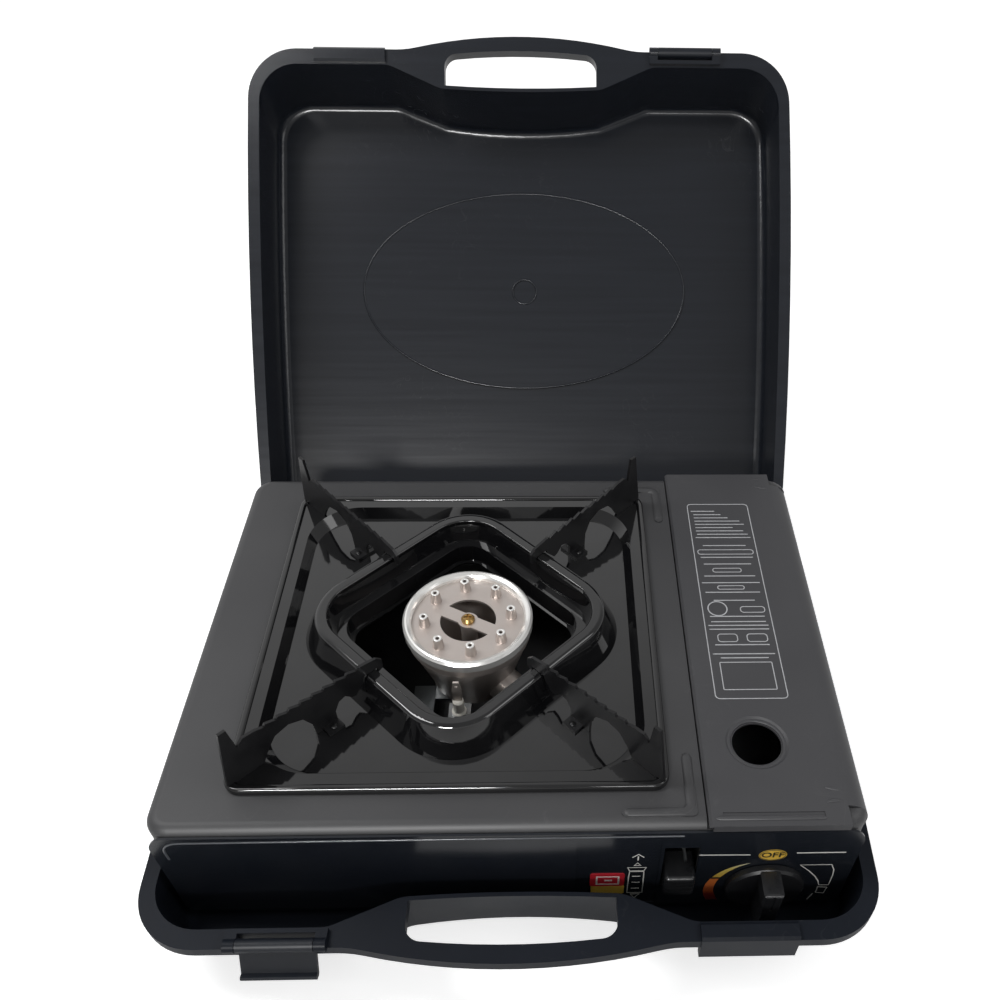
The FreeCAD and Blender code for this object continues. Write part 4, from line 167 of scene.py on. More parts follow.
def colours():
    return bpy.context.scene.stove_colours


def sizes():
    return bpy.context.scene.stove_sizes


# Shader groups

def new_group(name, inputs, outputs):
    group = bpy.data.node_groups.new(name, "ShaderNodeTree")
    for label, kind, default in inputs:
        socket = group.interface.new_socket(label, in_out="INPUT", socket_type=kind)
        if default is not None:
            socket.default_value = default
    for label, kind in outputs:
        group.interface.new_socket(label, in_out="OUTPUT", socket_type=kind)
    entry = group.nodes.new("NodeGroupInput")
    leave = group.nodes.new("NodeGroupOutput")
    return group, entry, leave


def node(tree, kind, **settings):
    made = tree.nodes.new(kind)
    for key, value in settings.items():
        setattr(made, key, value)
    return made


def math_node(tree, operation, first, second):
    made = node(tree, "ShaderNodeMath", operation=operation)
    for index, value in enumerate((first, second)):
        if isinstance(value, (int, float)):
            made.inputs[index].default_value = value
        else:
            tree.links.new(value, made.inputs[index])
    return made.outputs[0]


def moulded_grain_group():
    """Fine grain and a slow change of tone: Mask and Height over the surface."""
    name = "Moulded grain"
    if name in bpy.data.node_groups:
        return bpy.data.node_groups[name]
    group, entry, leave = new_group(
        name,
        [("Vector", "NodeSocketVector", None), ("Fine Scale", "NodeSocketFloat", 1800.0),
         ("Broad Scale", "NodeSocketFloat", 14.0), ("Contrast", "NodeSocketFloat", 1.0)],
        [("Mask", "NodeSocketFloat"), ("Height", "NodeSocketFloat")],
    )
    fine = node(group, "ShaderNodeTexNoise")
    fine.inputs["Detail"].default_value = 2.0
    broad = node(group, "ShaderNodeTexNoise")
    broad.inputs["Detail"].default_value = 5.0
    group.links.new(entry.outputs["Vector"], fine.inputs["Vector"])
    group.links.new(entry.outputs["Vector"], broad.inputs["Vector"])
    group.links.new(entry.outputs["Fine Scale"], fine.inputs["Scale"])
    group.links.new(entry.outputs["Broad Scale"], broad.inputs["Scale"])
    centred = math_node(group, "SUBTRACT", broad.outputs["Fac"], 0.5)
    swing = math_node(group, "MULTIPLY", centred, entry.outputs["Contrast"])
    mask = math_node(group, "ADD", swing, 0.5)
    clamped = node(group, "ShaderNodeClamp")
    group.links.new(mask, clamped.inputs[0])
    group.links.new(clamped.outputs[0], leave.inputs["Mask"])
    group.links.new(fine.outputs["Fac"], leave.inputs["Height"])
    return group


def scuff_group():
    """Thin hair scratches and faint wipe marks as a mask."""
    name = "Scuffs"
    if name in bpy.data.node_groups:
        return bpy.data.node_groups[name]
    group, entry, leave = new_group(
        name,
        [("Vector", "NodeSocketVector", None), ("Scale", "NodeSocketFloat", 60.0),
         ("Amount", "NodeSocketFloat", 0.3)],
        [("Mask", "NodeSocketFloat")],
    )
    patch = node(group, "ShaderNodeTexNoise")
    patch.inputs["Scale"].default_value = 9.0
    patch.inputs["Detail"].default_value = 3.0
    line = node(group, "ShaderNodeTexNoise")
    line.inputs["Detail"].default_value = 1.0
    line.inputs["Distortion"].default_value = 1.5
    group.links.new(entry.outputs["Vector"], patch.inputs["Vector"])
    group.links.new(entry.outputs["Vector"], line.inputs["Vector"])
    group.links.new(entry.outputs["Scale"], line.inputs["Scale"])
    ridge = math_node(group, "ABSOLUTE", math_node(group, "SUBTRACT", line.outputs["Fac"], 0.5), 0.0)
    thin = node(group, "ShaderNodeMapRange")
    thin.inputs["From Min"].default_value = 0.0
    thin.inputs["From Max"].default_value = 0.012
    thin.inputs["To Min"].default_value = 1.0
    thin.inputs["To Max"].default_value = 0.0
    group.links.new(ridge, thin.inputs["Value"])
    where = node(group, "ShaderNodeMapRange")
    where.inputs["From Min"].default_value = 0.52
    where.inputs["From Max"].default_value = 0.72
    group.links.new(patch.outputs["Fac"], where.inputs["Value"])
    both = math_node(group, "MULTIPLY", thin.outputs[0], where.outputs[0])
    group.links.new(math_node(group, "MULTIPLY", both, entry.outputs["Amount"]), leave.inputs["Mask"])
    return group


def new_material(name):
    material = bpy.data.materials.new(name)
    material.use_nodes = True
    tree = material.node_tree
    shader = tree.nodes["Principled BSDF"]
    return material, tree, shader


def object_vector(tree, stretch=(1.0, 1.0, 1.0)):
    place = node(tree, "ShaderNodeTexCoord")
    mapping = node(tree, "ShaderNodeMapping")
    mapping.inputs["Scale"].default_value = stretch
    tree.links.new(place.outputs["Object"], mapping.inputs["Vector"])
    return mapping.outputs["Vector"]


def blend_colours(tree, factor, first, second):
    mix = node(tree, "ShaderNodeMix", data_type="RGBA")
    tree.links.new(factor, mix.inputs["Factor"])
    mix.inputs["A"].default_value = first
    mix.inputs["B"].default_value = second
    return mix.outputs["Result"]


def lighten(colour, amount):
    """Move a colour towards a light grey, or away from it with a negative amount."""
    light_grey, share = 0.6, 0.25
    return tuple(min(1.0, c + amount * (light_grey - c) * share) for c in colour[:3]) + (1.0,)


def add_bump(tree, shader, height, strength, distance):
    bump = node(tree, "ShaderNodeBump")
    bump.inputs["Strength"].default_value = strength
    bump.inputs["Distance"].default_value = distance
    tree.links.new(height, bump.inputs["Height"])
    tree.links.new(bump.outputs["Normal"], shader.inputs["Normal"])


def surface(name, base, other, roughness, swing, metallic=0.0, fine=1800.0, broad=14.0, contrast=1.6,
            strength=0.2, distance=0.0001, stretch=(1.0, 1.0, 1.0), scuffs=0.0, specular=0.5):
    """Finish with grain, a slow change of tone and, where asked, hair scratches."""
    material, tree, shader = new_material(name)
    vector = object_vector(tree, stretch)
    grain = node(tree, "ShaderNodeGroup", node_tree=moulded_grain_group())
    grain.inputs["Fine Scale"].default_value = fine
    grain.inputs["Broad Scale"].default_value = broad
    grain.inputs["Contrast"].default_value = contrast
    tree.links.new(vector, grain.inputs["Vector"])
    tint = blend_colours(tree, grain.outputs["Mask"], base, other)
    low = roughness - swing / 2
    rough = math_node(tree, "ADD", math_node(tree, "MULTIPLY", grain.outputs["Mask"], swing), low)
    if scuffs:
        marks = node(tree, "ShaderNodeGroup", node_tree=scuff_group())
        marks.inputs["Amount"].default_value = scuffs
        tree.links.new(object_vector(tree), marks.inputs["Vector"])
        rough = math_node(tree, "ADD", rough, marks.outputs["Mask"])
        worn = node(tree, "ShaderNodeMix", data_type="RGBA")
        tree.links.new(marks.outputs["Mask"], worn.inputs["Factor"])
        tree.links.new(tint, worn.inputs["A"])
        worn.inputs["B"].default_value = lighten(other, 1.6)
        tint = worn.outputs["Result"]
    tree.links.new(tint, shader.inputs["Base Color"])
    tree.links.new(rough, shader.inputs["Roughness"])
    shader.inputs["Metallic"].default_value = metallic
    shader.inputs["Specular IOR Level"].default_value = specular
    add_bump(tree, shader, grain.outputs["Height"], strength, distance)
    return material


def zinc_surface(name, base):
    """Zinc plate with a faint crystal pattern."""
    material, tree, shader = new_material(name)
    vector = object_vector(tree)
    cells = node(tree, "ShaderNodeTexVoronoi")
    cells.inputs["Scale"].default_value = 160.0
    tree.links.new(vector, cells.inputs["Vector"])
    grey = node(tree, "ShaderNodeRGBToBW")
    tree.links.new(cells.outputs["Color"], grey.inputs[0])
    tint = blend_colours(tree, grey.outputs[0], base, lighten(base, 0.6))
    tree.links.new(tint, shader.inputs["Base Color"])
    rough = math_node(tree, "ADD", math_node(tree, "MULTIPLY", grey.outputs[0], 0.16), 0.34)
    tree.links.new(rough, shader.inputs["Roughness"])
    shader.inputs["Metallic"].default_value = 1.0
    return material


def printed(name, colour, roughness=0.35):
    """Screen-print ink with a slightly uneven film."""
    return surface(name, colour, lighten(colour, -0.3), roughness, 0.12, fine=2500.0, broad=300.0,
                   contrast=0.8, strength=0.05, distance=0.00003)


def dial_print(name):
    """Ink that runs from red at the low end through orange to pale yellow."""
    material, tree, shader = new_material(name)
    place = node(tree, "ShaderNodeTexCoord")
    split = node(tree, "ShaderNodeSeparateXYZ")
    tree.links.new(place.outputs["Object"], split.inputs[0])
    height = node(tree, "ShaderNodeMapRange")
    height.inputs["From Min"].default_value = 0.014
    height.inputs["From Max"].default_value = 0.054
    tree.links.new(split.outputs["Z"], height.inputs["Value"])
    ramp = node(tree, "ShaderNodeValToRGB")
    stops = ramp.color_ramp.elements
    stops[0].position, stops[0].color = 0.0, hex_colour("#5a1416")
    stops[1].position, stops[1].color = 1.0, hex_colour("#e9e2c0")
    middle = ((0.2, "#8f2a1d"), (0.28, "#d2622c"), (0.6, "#dc7a35"), (0.61, "#0d1014"), (0.645, "#0d1014"),
              (0.655, "#d8b046"), (0.86, "#e0c96a"))
    for position, text in middle:
        stops.new(position).color = hex_colour(text)
    tree.links.new(height.outputs[0], ramp.inputs["Fac"])
    tree.links.new(ramp.outputs["Color"], shader.inputs["Base Color"])
    uneven = node(tree, "ShaderNodeTexNoise")
    uneven.inputs["Scale"].default_value = 400.0
    tree.links.new(place.outputs["Object"], uneven.inputs["Vector"])
    rough = math_node(tree, "ADD", math_node(tree, "MULTIPLY", uneven.outputs["Fac"], 0.15), 0.3)
    tree.links.new(rough, shader.inputs["Roughness"])
    return material


finishes = {}


def build_finishes():
    c = colours()
    finishes["case_plastic"] = surface(
        "Moulded shell", c.case, c.case_light, 0.4, 0.14, fine=2600.0, broad=22.0, contrast=1.4,
        strength=0.25, distance=0.00006, scuffs=0.05, specular=0.1)
    finishes["case_lid"] = surface(
        "Moulded shell, lid", c.case, c.case_light, 0.24, 0.06, fine=1500.0, broad=260.0, contrast=1.2,
        strength=0.2, distance=0.00005, stretch=(0.03, 1.0, 1.0), scuffs=0.05, specular=0.4)
    finishes["latch_plastic"] = surface(
        "Latch plastic", c.case, c.case_light, 0.45, 0.1, fine=2600.0, broad=60.0,
        strength=0.2, distance=0.00005, specular=0.25)
    finishes["body_paint"] = surface(
        "Powder coat", c.body, lighten(c.body, 0.25), 0.5, 0.08, fine=1300.0, broad=10.0, contrast=0.9,
        strength=0.35, distance=0.00008, scuffs=0.08)
    finishes["cover_paint"] = surface(
        "Cover powder coat", c.cover, lighten(c.cover, 0.25), 0.5, 0.08, fine=1300.0, broad=10.0,
        contrast=0.9, strength=0.35, distance=0.00008, scuffs=0.08)
    finishes["panel_gloss"] = surface(
        "Panel gloss", c.panel, lighten(c.panel, 0.05), 0.2, 0.06, fine=300.0, broad=30.0,
        strength=0.05, distance=0.00005, scuffs=0.05, specular=0.3)
    # Painted highlight: mid grey, much lighter than the panel paint, worn by the bead on the panel's top
    # bend so the bend reads as a bright line
    finishes["panel_bend_highlight"] = surface(
        "Panel bend, painted highlight", hex_colour("#4a4d52"), hex_colour("#62656a"), 0.18, 0.06, fine=300.0, broad=30.0,
        strength=0.05, distance=0.00005)
    finishes["enamel"] = surface(
        "Pan enamel", c.enamel, lighten(c.enamel, 0.04), 0.06, 0.03, fine=110.0, broad=40.0,
        strength=0.12, distance=0.0002, specular=0.65)
    finishes["enamel_satin"] = surface(
        "Support enamel", c.support, lighten(c.support, 0.05), 0.34, 0.14, fine=900.0, broad=90.0,
        strength=0.25, distance=0.00008, specular=0.3)
    finishes["galvanised_steel"] = zinc_surface("Zinc plate", c.zinc)
    # Painted shade: near-black sheet given to the base plate and heat shield, which sit in shade inside the
    # burner opening
    finishes["black_steel"] = surface(
        "Black sheet, painted shade", c.support, lighten(c.support, 0.1), 0.4, 0.12, fine=900.0, broad=50.0,
        strength=0.2, distance=0.00008)
    finishes["polished_steel"] = surface(
        "Bright steel", c.steel, lighten(c.steel, 0.4), 0.2, 0.1, metallic=0.55, fine=900.0, broad=120.0,
        strength=0.08, distance=0.00004)
    finishes["burner_aluminium"] = surface(
        "Burner aluminium", c.aluminium, lighten(c.aluminium, -0.6), 0.42, 0.16, metallic=0.75, fine=1500.0,
        broad=180.0, strength=0.3, distance=0.00008)
    finishes["cast_aluminium"] = surface(
        "Cast aluminium", lighten(c.aluminium, -0.8), c.aluminium, 0.36, 0.2, metallic=0.6, fine=800.0,
        broad=90.0, strength=0.5, distance=0.00015)
    finishes["brass"] = surface(
        "Brass", c.brass, lighten(c.brass, 0.3), 0.26, 0.12, metallic=1.0, fine=1200.0, broad=200.0,
        strength=0.08, distance=0.00004)
    finishes["knob_plastic"] = surface(
        "Knob plastic", c.knob, lighten(c.knob, 0.12), 0.24, 0.1, fine=1500.0, broad=80.0,
        strength=0.1, distance=0.00004)
    finishes["foot_rubber"] = surface(
        "Foot rubber", hex_colour("#191919"), hex_colour("#242424"), 0.75, 0.1, fine=1500.0, broad=80.0,
        strength=0.4, distance=0.0001)
    finishes["insulator_white"] = surface(
        "Glazed ceramic", hex_colour("#dcd8ce"), hex_colour("#eeebe3"), 0.16, 0.06, fine=900.0, broad=60.0,
        strength=0.05, distance=0.00005)
    finishes["lead_rubber"] = surface(
        "Lead silicone", hex_colour("#6d241d"), hex_colour("#82302a"), 0.5, 0.1, fine=1500.0, broad=120.0,
        strength=0.2, distance=0.00006)
    finishes["igniter_plastic"] = surface(
        "Igniter plastic", hex_colour("#1b1b1e"), hex_colour("#26262a"), 0.35, 0.1, fine=1500.0, broad=80.0,
        strength=0.15, distance=0.00005)
    finishes["print_white"] = printed("White print", c.print_white)
    finishes["print_red"] = printed("Red print", c.print_red)
    finishes["print_amber"] = printed("Amber print", c.print_amber)
    finishes["print_grey"] = printed("Grey print", hex_colour("#b4b5b8"))
    finishes["print_black"] = printed("Black print", hex_colour("#1a1a1c"))
    finishes["print_dial"] = dial_print("Dial print")


def wear(obj, finish):
    obj.data.materials.clear()
    obj.data.materials.append(finishes[finish])
    return obj


# Modelling helpers

def deselect():
    if bpy.context.object and bpy.context.object.mode != "OBJECT":
        bpy.ops.object.mode_set(mode="OBJECT")
    bpy.ops.object.select_all(action="DESELECT")


def active(name):
    obj = bpy.context.object
    obj.name = name
    obj.data.name = name
    return obj


def choose(obj):
    deselect()
    obj.select_set(True)
    bpy.context.view_layer.objects.active = obj
    return obj


def settle(obj):
    """Put the object's place into its mesh."""
    choose(obj)
    bpy.ops.object.transform_apply(location=True, rotation=True, scale=True)
    return obj


def pick_edges(obj, test):
    """Select the edges whose direction passes the test."""
    bpy.ops.mesh.select_all(action="DESELECT")
    mesh = bmesh.from_edit_mesh(obj.data)
    for edge in mesh.edges:
        edge.select_set(test((edge.verts[1].co - edge.verts[0].co).normalized()))
    mesh.select_flush_mode()
    bmesh.update_edit_mesh(obj.data)


def block(name, low, high):
    """Box between two corners, in millimetres."""
    deselect()
    middle = [(a + b) / 2 * MM for a, b in zip(low, high)]
    bpy.ops.mesh.primitive_cube_add(size=1.0, location=middle)
    obj = active(name)
    obj.scale = [(b - a) * MM for a, b in zip(low, high)]
    return settle(obj)


def round_corners(obj, axis, radius, segments):
    """Bevel the edges that run along an axis."""
    choose(obj)
    bpy.ops.object.mode_set(mode="EDIT")
    bpy.ops.mesh.select_mode(type="EDGE")
    pick_edges(obj, lambda along: abs(along[axis]) > 0.99)
    bpy.ops.mesh.bevel(offset=radius * MM, segments=segments, affect="EDGES")
    bpy.ops.object.mode_set(mode="OBJECT")
    return obj


def apply_modifier(obj, kind, **settings):
    choose(obj)
    modifier = obj.modifiers.new(kind.title(), kind)
    for key, value in settings.items():
        setattr(modifier, key, value)
    bpy.ops.object.modifier_apply(modifier=modifier.name)
    return obj


def join(name, parts):
    deselect()
    for part in parts:
        part.select_set(True)
    bpy.context.view_layer.objects.active = parts[0]
    if len(parts) > 1:
        bpy.ops.object.join()
    return active(name)


def print_plate(name, x0, x1, z0, z1, corner):
    """Sticker in the panel's recess with rounded corners, thicker than the print."""
    thick = sizes().print_height / MM * STICKER_LAYERS
    obj = block(name, (x0, RECESS_Y - thick, z0), (x1, RECESS_Y + 0.02, z1))
    return round_corners(obj, 1, corner, 5)


def bead(name, points, width, height, plane, closed=False, taper=None, steps=1):
    """Low round bead along a path on one of the planes, standing up by its height."""
    axis, level = PLANES[plane][0], PLANES[plane][1] * MM
    curve = bpy.data.curves.new(name, "CURVE")
    curve.dimensions = "3D"
    curve.bevel_depth = width / 2
    curve.bevel_resolution = steps
    spline = curve.splines.new("POLY")
    spline.points.add(len(points) - 1)
    for index, (a, b) in enumerate(points):
        place = [a * MM, b * MM]
        place.insert(axis, level)
        spline.points[index].co = (*place, 1.0)
        spline.points[index].radius = taper[index] if taper else 1.0
    spline.use_cyclic_u = closed
    curve.use_fill_caps = True
    deselect()
    obj = bpy.data.objects.new(name, curve)
    bpy.context.scene.collection.objects.link(obj)
    choose(obj)
    bpy.ops.object.convert(target="MESH")
    obj = active(name)
    bpy.ops.object.mode_set(mode="EDIT")
    bpy.ops.mesh.select_all(action="SELECT")
    squeeze = [1.0, 1.0, 1.0]
    squeeze[axis] = 2 * height / width
    centre = [0.0, 0.0, 0.0]
    centre[axis] = level
    bpy.ops.transform.resize(value=squeeze, center_override=centre)
    bpy.ops.object.mode_set(mode="OBJECT")
    return obj


def print_line(name, points, width, closed=False, plane="front"):
    return bead(name, points, width, sizes().print_height, plane, closed)


def recess_line(name, points, width, closed=False):
    """Printed line on the floor of the label recess."""
    return print_line(name, points, width, closed=closed, plane="recess")


def print_words(name, text, x, z, height, boldness):
    """Plain generic word as a thin printed mesh on the front panel."""
    deselect()
    bpy.ops.object.text_add()
    obj = active(name)
    obj.data.body = text
    obj.data.size = height * MM / 0.7
    obj.data.align_x = "CENTER"
    obj.data.align_y = "CENTER"
    obj.data.extrude = sizes().print_height
    obj.data.offset = boldness * MM
    bpy.ops.object.convert(target="MESH")
    obj = active(name)
    obj.location = (x * MM, PANEL_Y * MM, z * MM)
    obj.rotation_euler = (math.pi / 2, 0.0, 0.0)
    return settle(obj)


def oval(centre, half_x, half_y, steps=48):
    """Points round an oval."""
    turns = [math.tau * i / steps for i in range(steps)]
    return [(centre[0] + half_x * math.cos(a), centre[1] + half_y * math.sin(a)) for a in turns]


def quarter_turn(steps):
    """Angles from nothing to a quarter turn."""
    return [math.pi / 2 * i / steps for i in range(steps + 1)]


def rounded_box(low, high, radius, steps=5):
    """Points round a rectangle with rounded corners."""
    points = []
    corners = ((high[0], high[1]), (low[0], high[1]), (low[0], low[1]), (high[0], low[1]))
    for turn, (x, y) in enumerate(corners):
        middle_x = x - radius if x == high[0] else x + radius
        middle_y = y - radius if y == high[1] else y + radius
        for step in range(steps + 1):
            angle = math.pi / 2 * (turn + step / steps)
            points.append((middle_x + radius * math.cos(angle), middle_y + radius * math.sin(angle)))
    return points


def open_lid(obj):
    """Swing a piece made on the closed lid to the lid's open rest position."""
    hinge = Vector(CASE_HINGE) * MM
    turn = Matrix.Rotation(math.radians(-LID_OPEN_DEG), 4, "X")
    obj.matrix_world = Matrix.Translation(hinge) @ turn @ Matrix.Translation(-hinge) @ obj.matrix_world
    return settle(obj)


def disc(name, x, z, radius, depth, steps=96):
    """Flat disc on the front panel."""
    deselect()
    bpy.ops.mesh.primitive_cylinder_add(
        vertices=steps, radius=radius * MM, depth=depth * MM,
        location=(x * MM, PANEL_Y * MM, z * MM), rotation=(math.pi / 2, 0.0, 0.0))
    return settle(active(name))


def repeat(name, pattern, places):
    """Copies of a pattern at each place, joined to one piece."""
    parts = []
    for place in places:
        copy = bpy.data.objects.new(name, pattern.data.copy())
        bpy.context.scene.collection.objects.link(copy)
        copy.data.transform(Matrix.Translation(place * MM))
        parts.append(copy)
    bpy.data.objects.remove(pattern)
    return join(name, parts)


def finish_piece(obj, finish, body, angle=SMOOTH_DEG):
    """Shade a piece, give it its finish and slot, and ride it on its body."""
    choose(obj)
    bpy.ops.object.shade_smooth_by_angle(angle=math.radians(angle))
    wear(obj, finish)
    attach(obj, body)
    return obj


class STOVE_OT_finishes(bpy.types.Operator):
    """Give every solid of the frame its paint, enamel, plastic or metal"""

    bl_idname = "stove.finishes"
    bl_label = "Finishes"

    def execute(self, context):
        build_finishes()
        # Painted shade: base_plate and heat_shield wear the near-black sheet finish instead of their own
        # slot's finish, so the shaded inside of the burner opening reads black
        special = {"case_lid": "case_lid", "base_plate": "black_steel", "heat_shield": "black_steel",
                   "igniter_electrode": "burner_aluminium", "cartridge_cover": "cover_paint"}
        for part in frame["record"]["subparts"]:
            name = part["node"]
            finish = special.get(name, part["material_slot"])
            wear(frame["nodes"][name], finish)
        return {"FINISHED"}


class STOVE_OT_dial_print(bpy.types.Operator):
    """Print the gas dial around the knob: lines, OFF mark, colour arc and scale"""

    bl_idname = "stove.dial_print"
    bl_label = "Dial print"

    def execute(self, context):
        lines = [
            print_line("dial_line_left", [(91.0, 63.0), (116.0, 62.6)], sizes().line_width * 1.3),
            print_line("dial_line_right", [(138.6, 63.9), (162.8, 63.9)], sizes().line_width * 1.3),
        ]
        scale = [(142.6, 51.5), (158.4, 51.5), (160.6, 46.0), (161.2, 40.0), (161.2, 29.6), (156.2, 29.7),
                 (154.9, 34.2), (152.4, 39.2), (148.0, 45.4)]
        lines.append(print_line("dial_scale", scale, sizes().line_width, closed=True))
        small = [(156.0, 27.6), (161.0, 27.0), (160.4, 20.4), (156.2, 21.2)]
        lines.append(print_line("dial_scale_low", small, sizes().line_width, closed=True))
        lines.append(print_line("dial_scale_tail", [(154.8, 20.1), (153.1, 13.6)], sizes().line_width))
        finish_piece(join("dial_lines", lines), "print_white", "stove")

        thick = sizes().print_height / MM
        arc = disc("dial_arc", 125.0, 27.0, 28.2, 2 * thick)
        knife = disc("dial_arc_cut", 130.4, 28.9, 28.5, 4 * thick)
        apply_modifier(arc, "BOOLEAN", operation="DIFFERENCE", solver="EXACT", object=knife)
        bpy.data.objects.remove(knife)
        choose(arc)
        bpy.ops.object.mode_set(mode="EDIT")
        bpy.ops.mesh.select_all(action="SELECT")
        bpy.ops.mesh.bisect(
            plane_co=(0.0, 0.0, 15.0 * MM), plane_no=(0.0, 0.0, 1.0), use_fill=True, clear_inner=True)
        bpy.ops.object.mode_set(mode="OBJECT")
        finish_piece(arc, "print_dial", "stove")

        field = disc("off_field", *OFF_MARK, 6.9, 2 * thick)
        field = flatten_disc(field, OFF_MARK, 0.76)
        finish_piece(field, "print_amber", "stove")
        edge = print_line("off_rim", oval(OFF_MARK, 6.4, 4.8), sizes().line_width * 0.6, closed=True)
        edge = lift_print(edge, 1.2)
        words = lift_print(print_words("off_word", "OFF", *OFF_MARK, 4.6, 0.12), 1.0)
        finish_piece(join("off_mark", [edge, words]), "print_black", "stove")
        return {"FINISHED"}


def flatten_disc(obj, centre, share):
    """Make a disc slightly oval in height."""
    choose(obj)
    bpy.ops.object.mode_set(mode="EDIT")
    bpy.ops.mesh.select_all(action="SELECT")
    middle = (centre[0] * MM, PANEL_Y * MM, centre[1] * MM)
    bpy.ops.transform.resize(value=(1.0, 1.0, share), center_override=middle)
    bpy.ops.object.mode_set(mode="OBJECT")
    return obj


def lift_print(obj, layers):
    """Move a print forward by whole print layers."""
    choose(obj)
    obj.location.y -= layers * sizes().print_height
    return settle(obj)


class STOVE_OT_label_print(bpy.types.Operator):
    """Print the lock label beside the lever: a coloured sticker and a cartridge sign"""

    bl_idname = "stove.label_print"
    bl_label = "Label print"

    def execute(self, context):
        red = print_plate("sticker_red", 38.2, 55.6, 31.6, 44.6, 1.6)
        finish_piece(red, "print_red", "stove")
        amber = print_plate("sticker_amber", 38.8, 55.8, 23.4, 31.5, 1.0)
        finish_piece(amber, "print_amber", "stove")
        frame_line = [(41.6, 33.8), (52.6, 33.8), (52.6, 41.6), (41.6, 41.6)]
        outer = recess_line("sticker_frame", frame_line, sizes().line_width * 2.0, closed=True)
        inner = recess_line("sticker_bar", [(45.4, 37.7), (49.4, 37.7)], sizes().line_width * 2.0)
        sign = lift_print(join("sticker_sign", [outer, inner]), STICKER_LAYERS)
        finish_piece(sign, "print_white", "stove")

        width = sizes().line_width
        can = [(57.9, 46.0), (65.0, 46.0), (65.2, 40.0), (65.4, 23.2), (57.6, 23.2), (57.6, 40.0)]
        collar = [(56.7, 50.2), (66.0, 50.2), (65.0, 46.8), (57.8, 46.8)]
        sign = [
            recess_line("can_body", can, width, closed=True),
            recess_line("can_collar", collar, width, closed=True),
            recess_line("can_tip", [(59.8, 52.2), (61.4, 55.0), (63.2, 52.2)], width, closed=True),
            recess_line("can_foot", [(59.4, 21.6), (61.6, 17.2), (64.0, 21.6)], width, closed=True),
            recess_line("can_band_low", [(59.4, 28.0), (63.6, 28.0)], width),
            recess_line("can_band_mid", [(59.4, 34.5), (63.6, 34.5)], width),
            recess_line("can_band_top", [(59.4, 41.0), (63.6, 41.0)], width),
            recess_line("arrow_stem", [(61.4, 57.6), (61.4, 61.6)], width),
            recess_line("arrow_head", [(58.6, 60.6), (61.4, 63.6), (64.2, 60.6)], width),
        ]
        finish_piece(join("cartridge_sign", sign), "print_white", "stove")
        return {"FINISHED"}


class STOVE_OT_cover_print(bpy.types.Operator):
    """Print the framed field with plain rules on the cartridge cover"""

    bl_idname = "stove.cover_print"
    bl_label = "Cover print"

    def execute(self, context):
        width = sizes().line_width
        rules = [
            (106.6, 121.4, 92.6), (108.0, 125.0, 89.4), (108.0, 129.0, 86.4), (108.0, 136.0, 83.4),
            (108.0, 138.4, 80.4), (108.0, 131.0, 77.4), (108.0, 137.2, 74.4), (108.4, 139.6, 71.4),
            (107.2, 140.8, 68.4), (110.8, 136.8, 61.3), (108.4, 139.7, 51.1), (109.6, 137.8, 45.4),
            (108.8, 138.8, 35.4), (106.8, 140.6, 29.9), (108.0, 139.6, 22.2), (112.0, 135.6, 15.8),
            (108.4, 139.4, 3.4), (108.6, 139.4, -0.6), (106.8, 140.4, -3.4), (107.0, 140.4, -6.2),
            (108.8, 138.8, -17.6), (106.8, 140.8, -24.1), (110.8, 136.8, -26.9),
        ]
        boxes = [
            ((107.2, 53.8), (140.6, 57.6), 1.6), ((114.4, 38.6), (131.2, 41.8), 1.4),
            ((115.6, 24.6), (131.0, 27.4), 1.2), ((126.4, 6.4), (140.2, 10.8), 1.8),
            ((111.0, -15.4), (121.8, -9.8), 1.8), ((127.2, -15.4), (138.4, -9.8), 1.8),
            ((109.8, -48.5), (138.0, -30.0), 0.6), ((104.8, -54.4), (142.9, 99.2), 2.4),
        ]
        lines = []
        for index, (x0, x1, y) in enumerate(rules):
            lines.append(print_line("rule_%02d" % index, [(x0, y), (x1, y)], width, plane="top"))
        for index, (low, high, radius) in enumerate(boxes):
            outline = rounded_box(low, high, radius)
            lines.append(print_line("rule_box_%d" % index, outline, width * 0.8, closed=True, plane="top"))
        ring = oval((113.4, 9.4), 5.4, 5.4, 32)
        lines.append(print_line("rule_ring", ring, width, closed=True, plane="top"))
        finish_piece(join("cover_rules", lines), "print_grey", "cover")
        return {"FINISHED"}


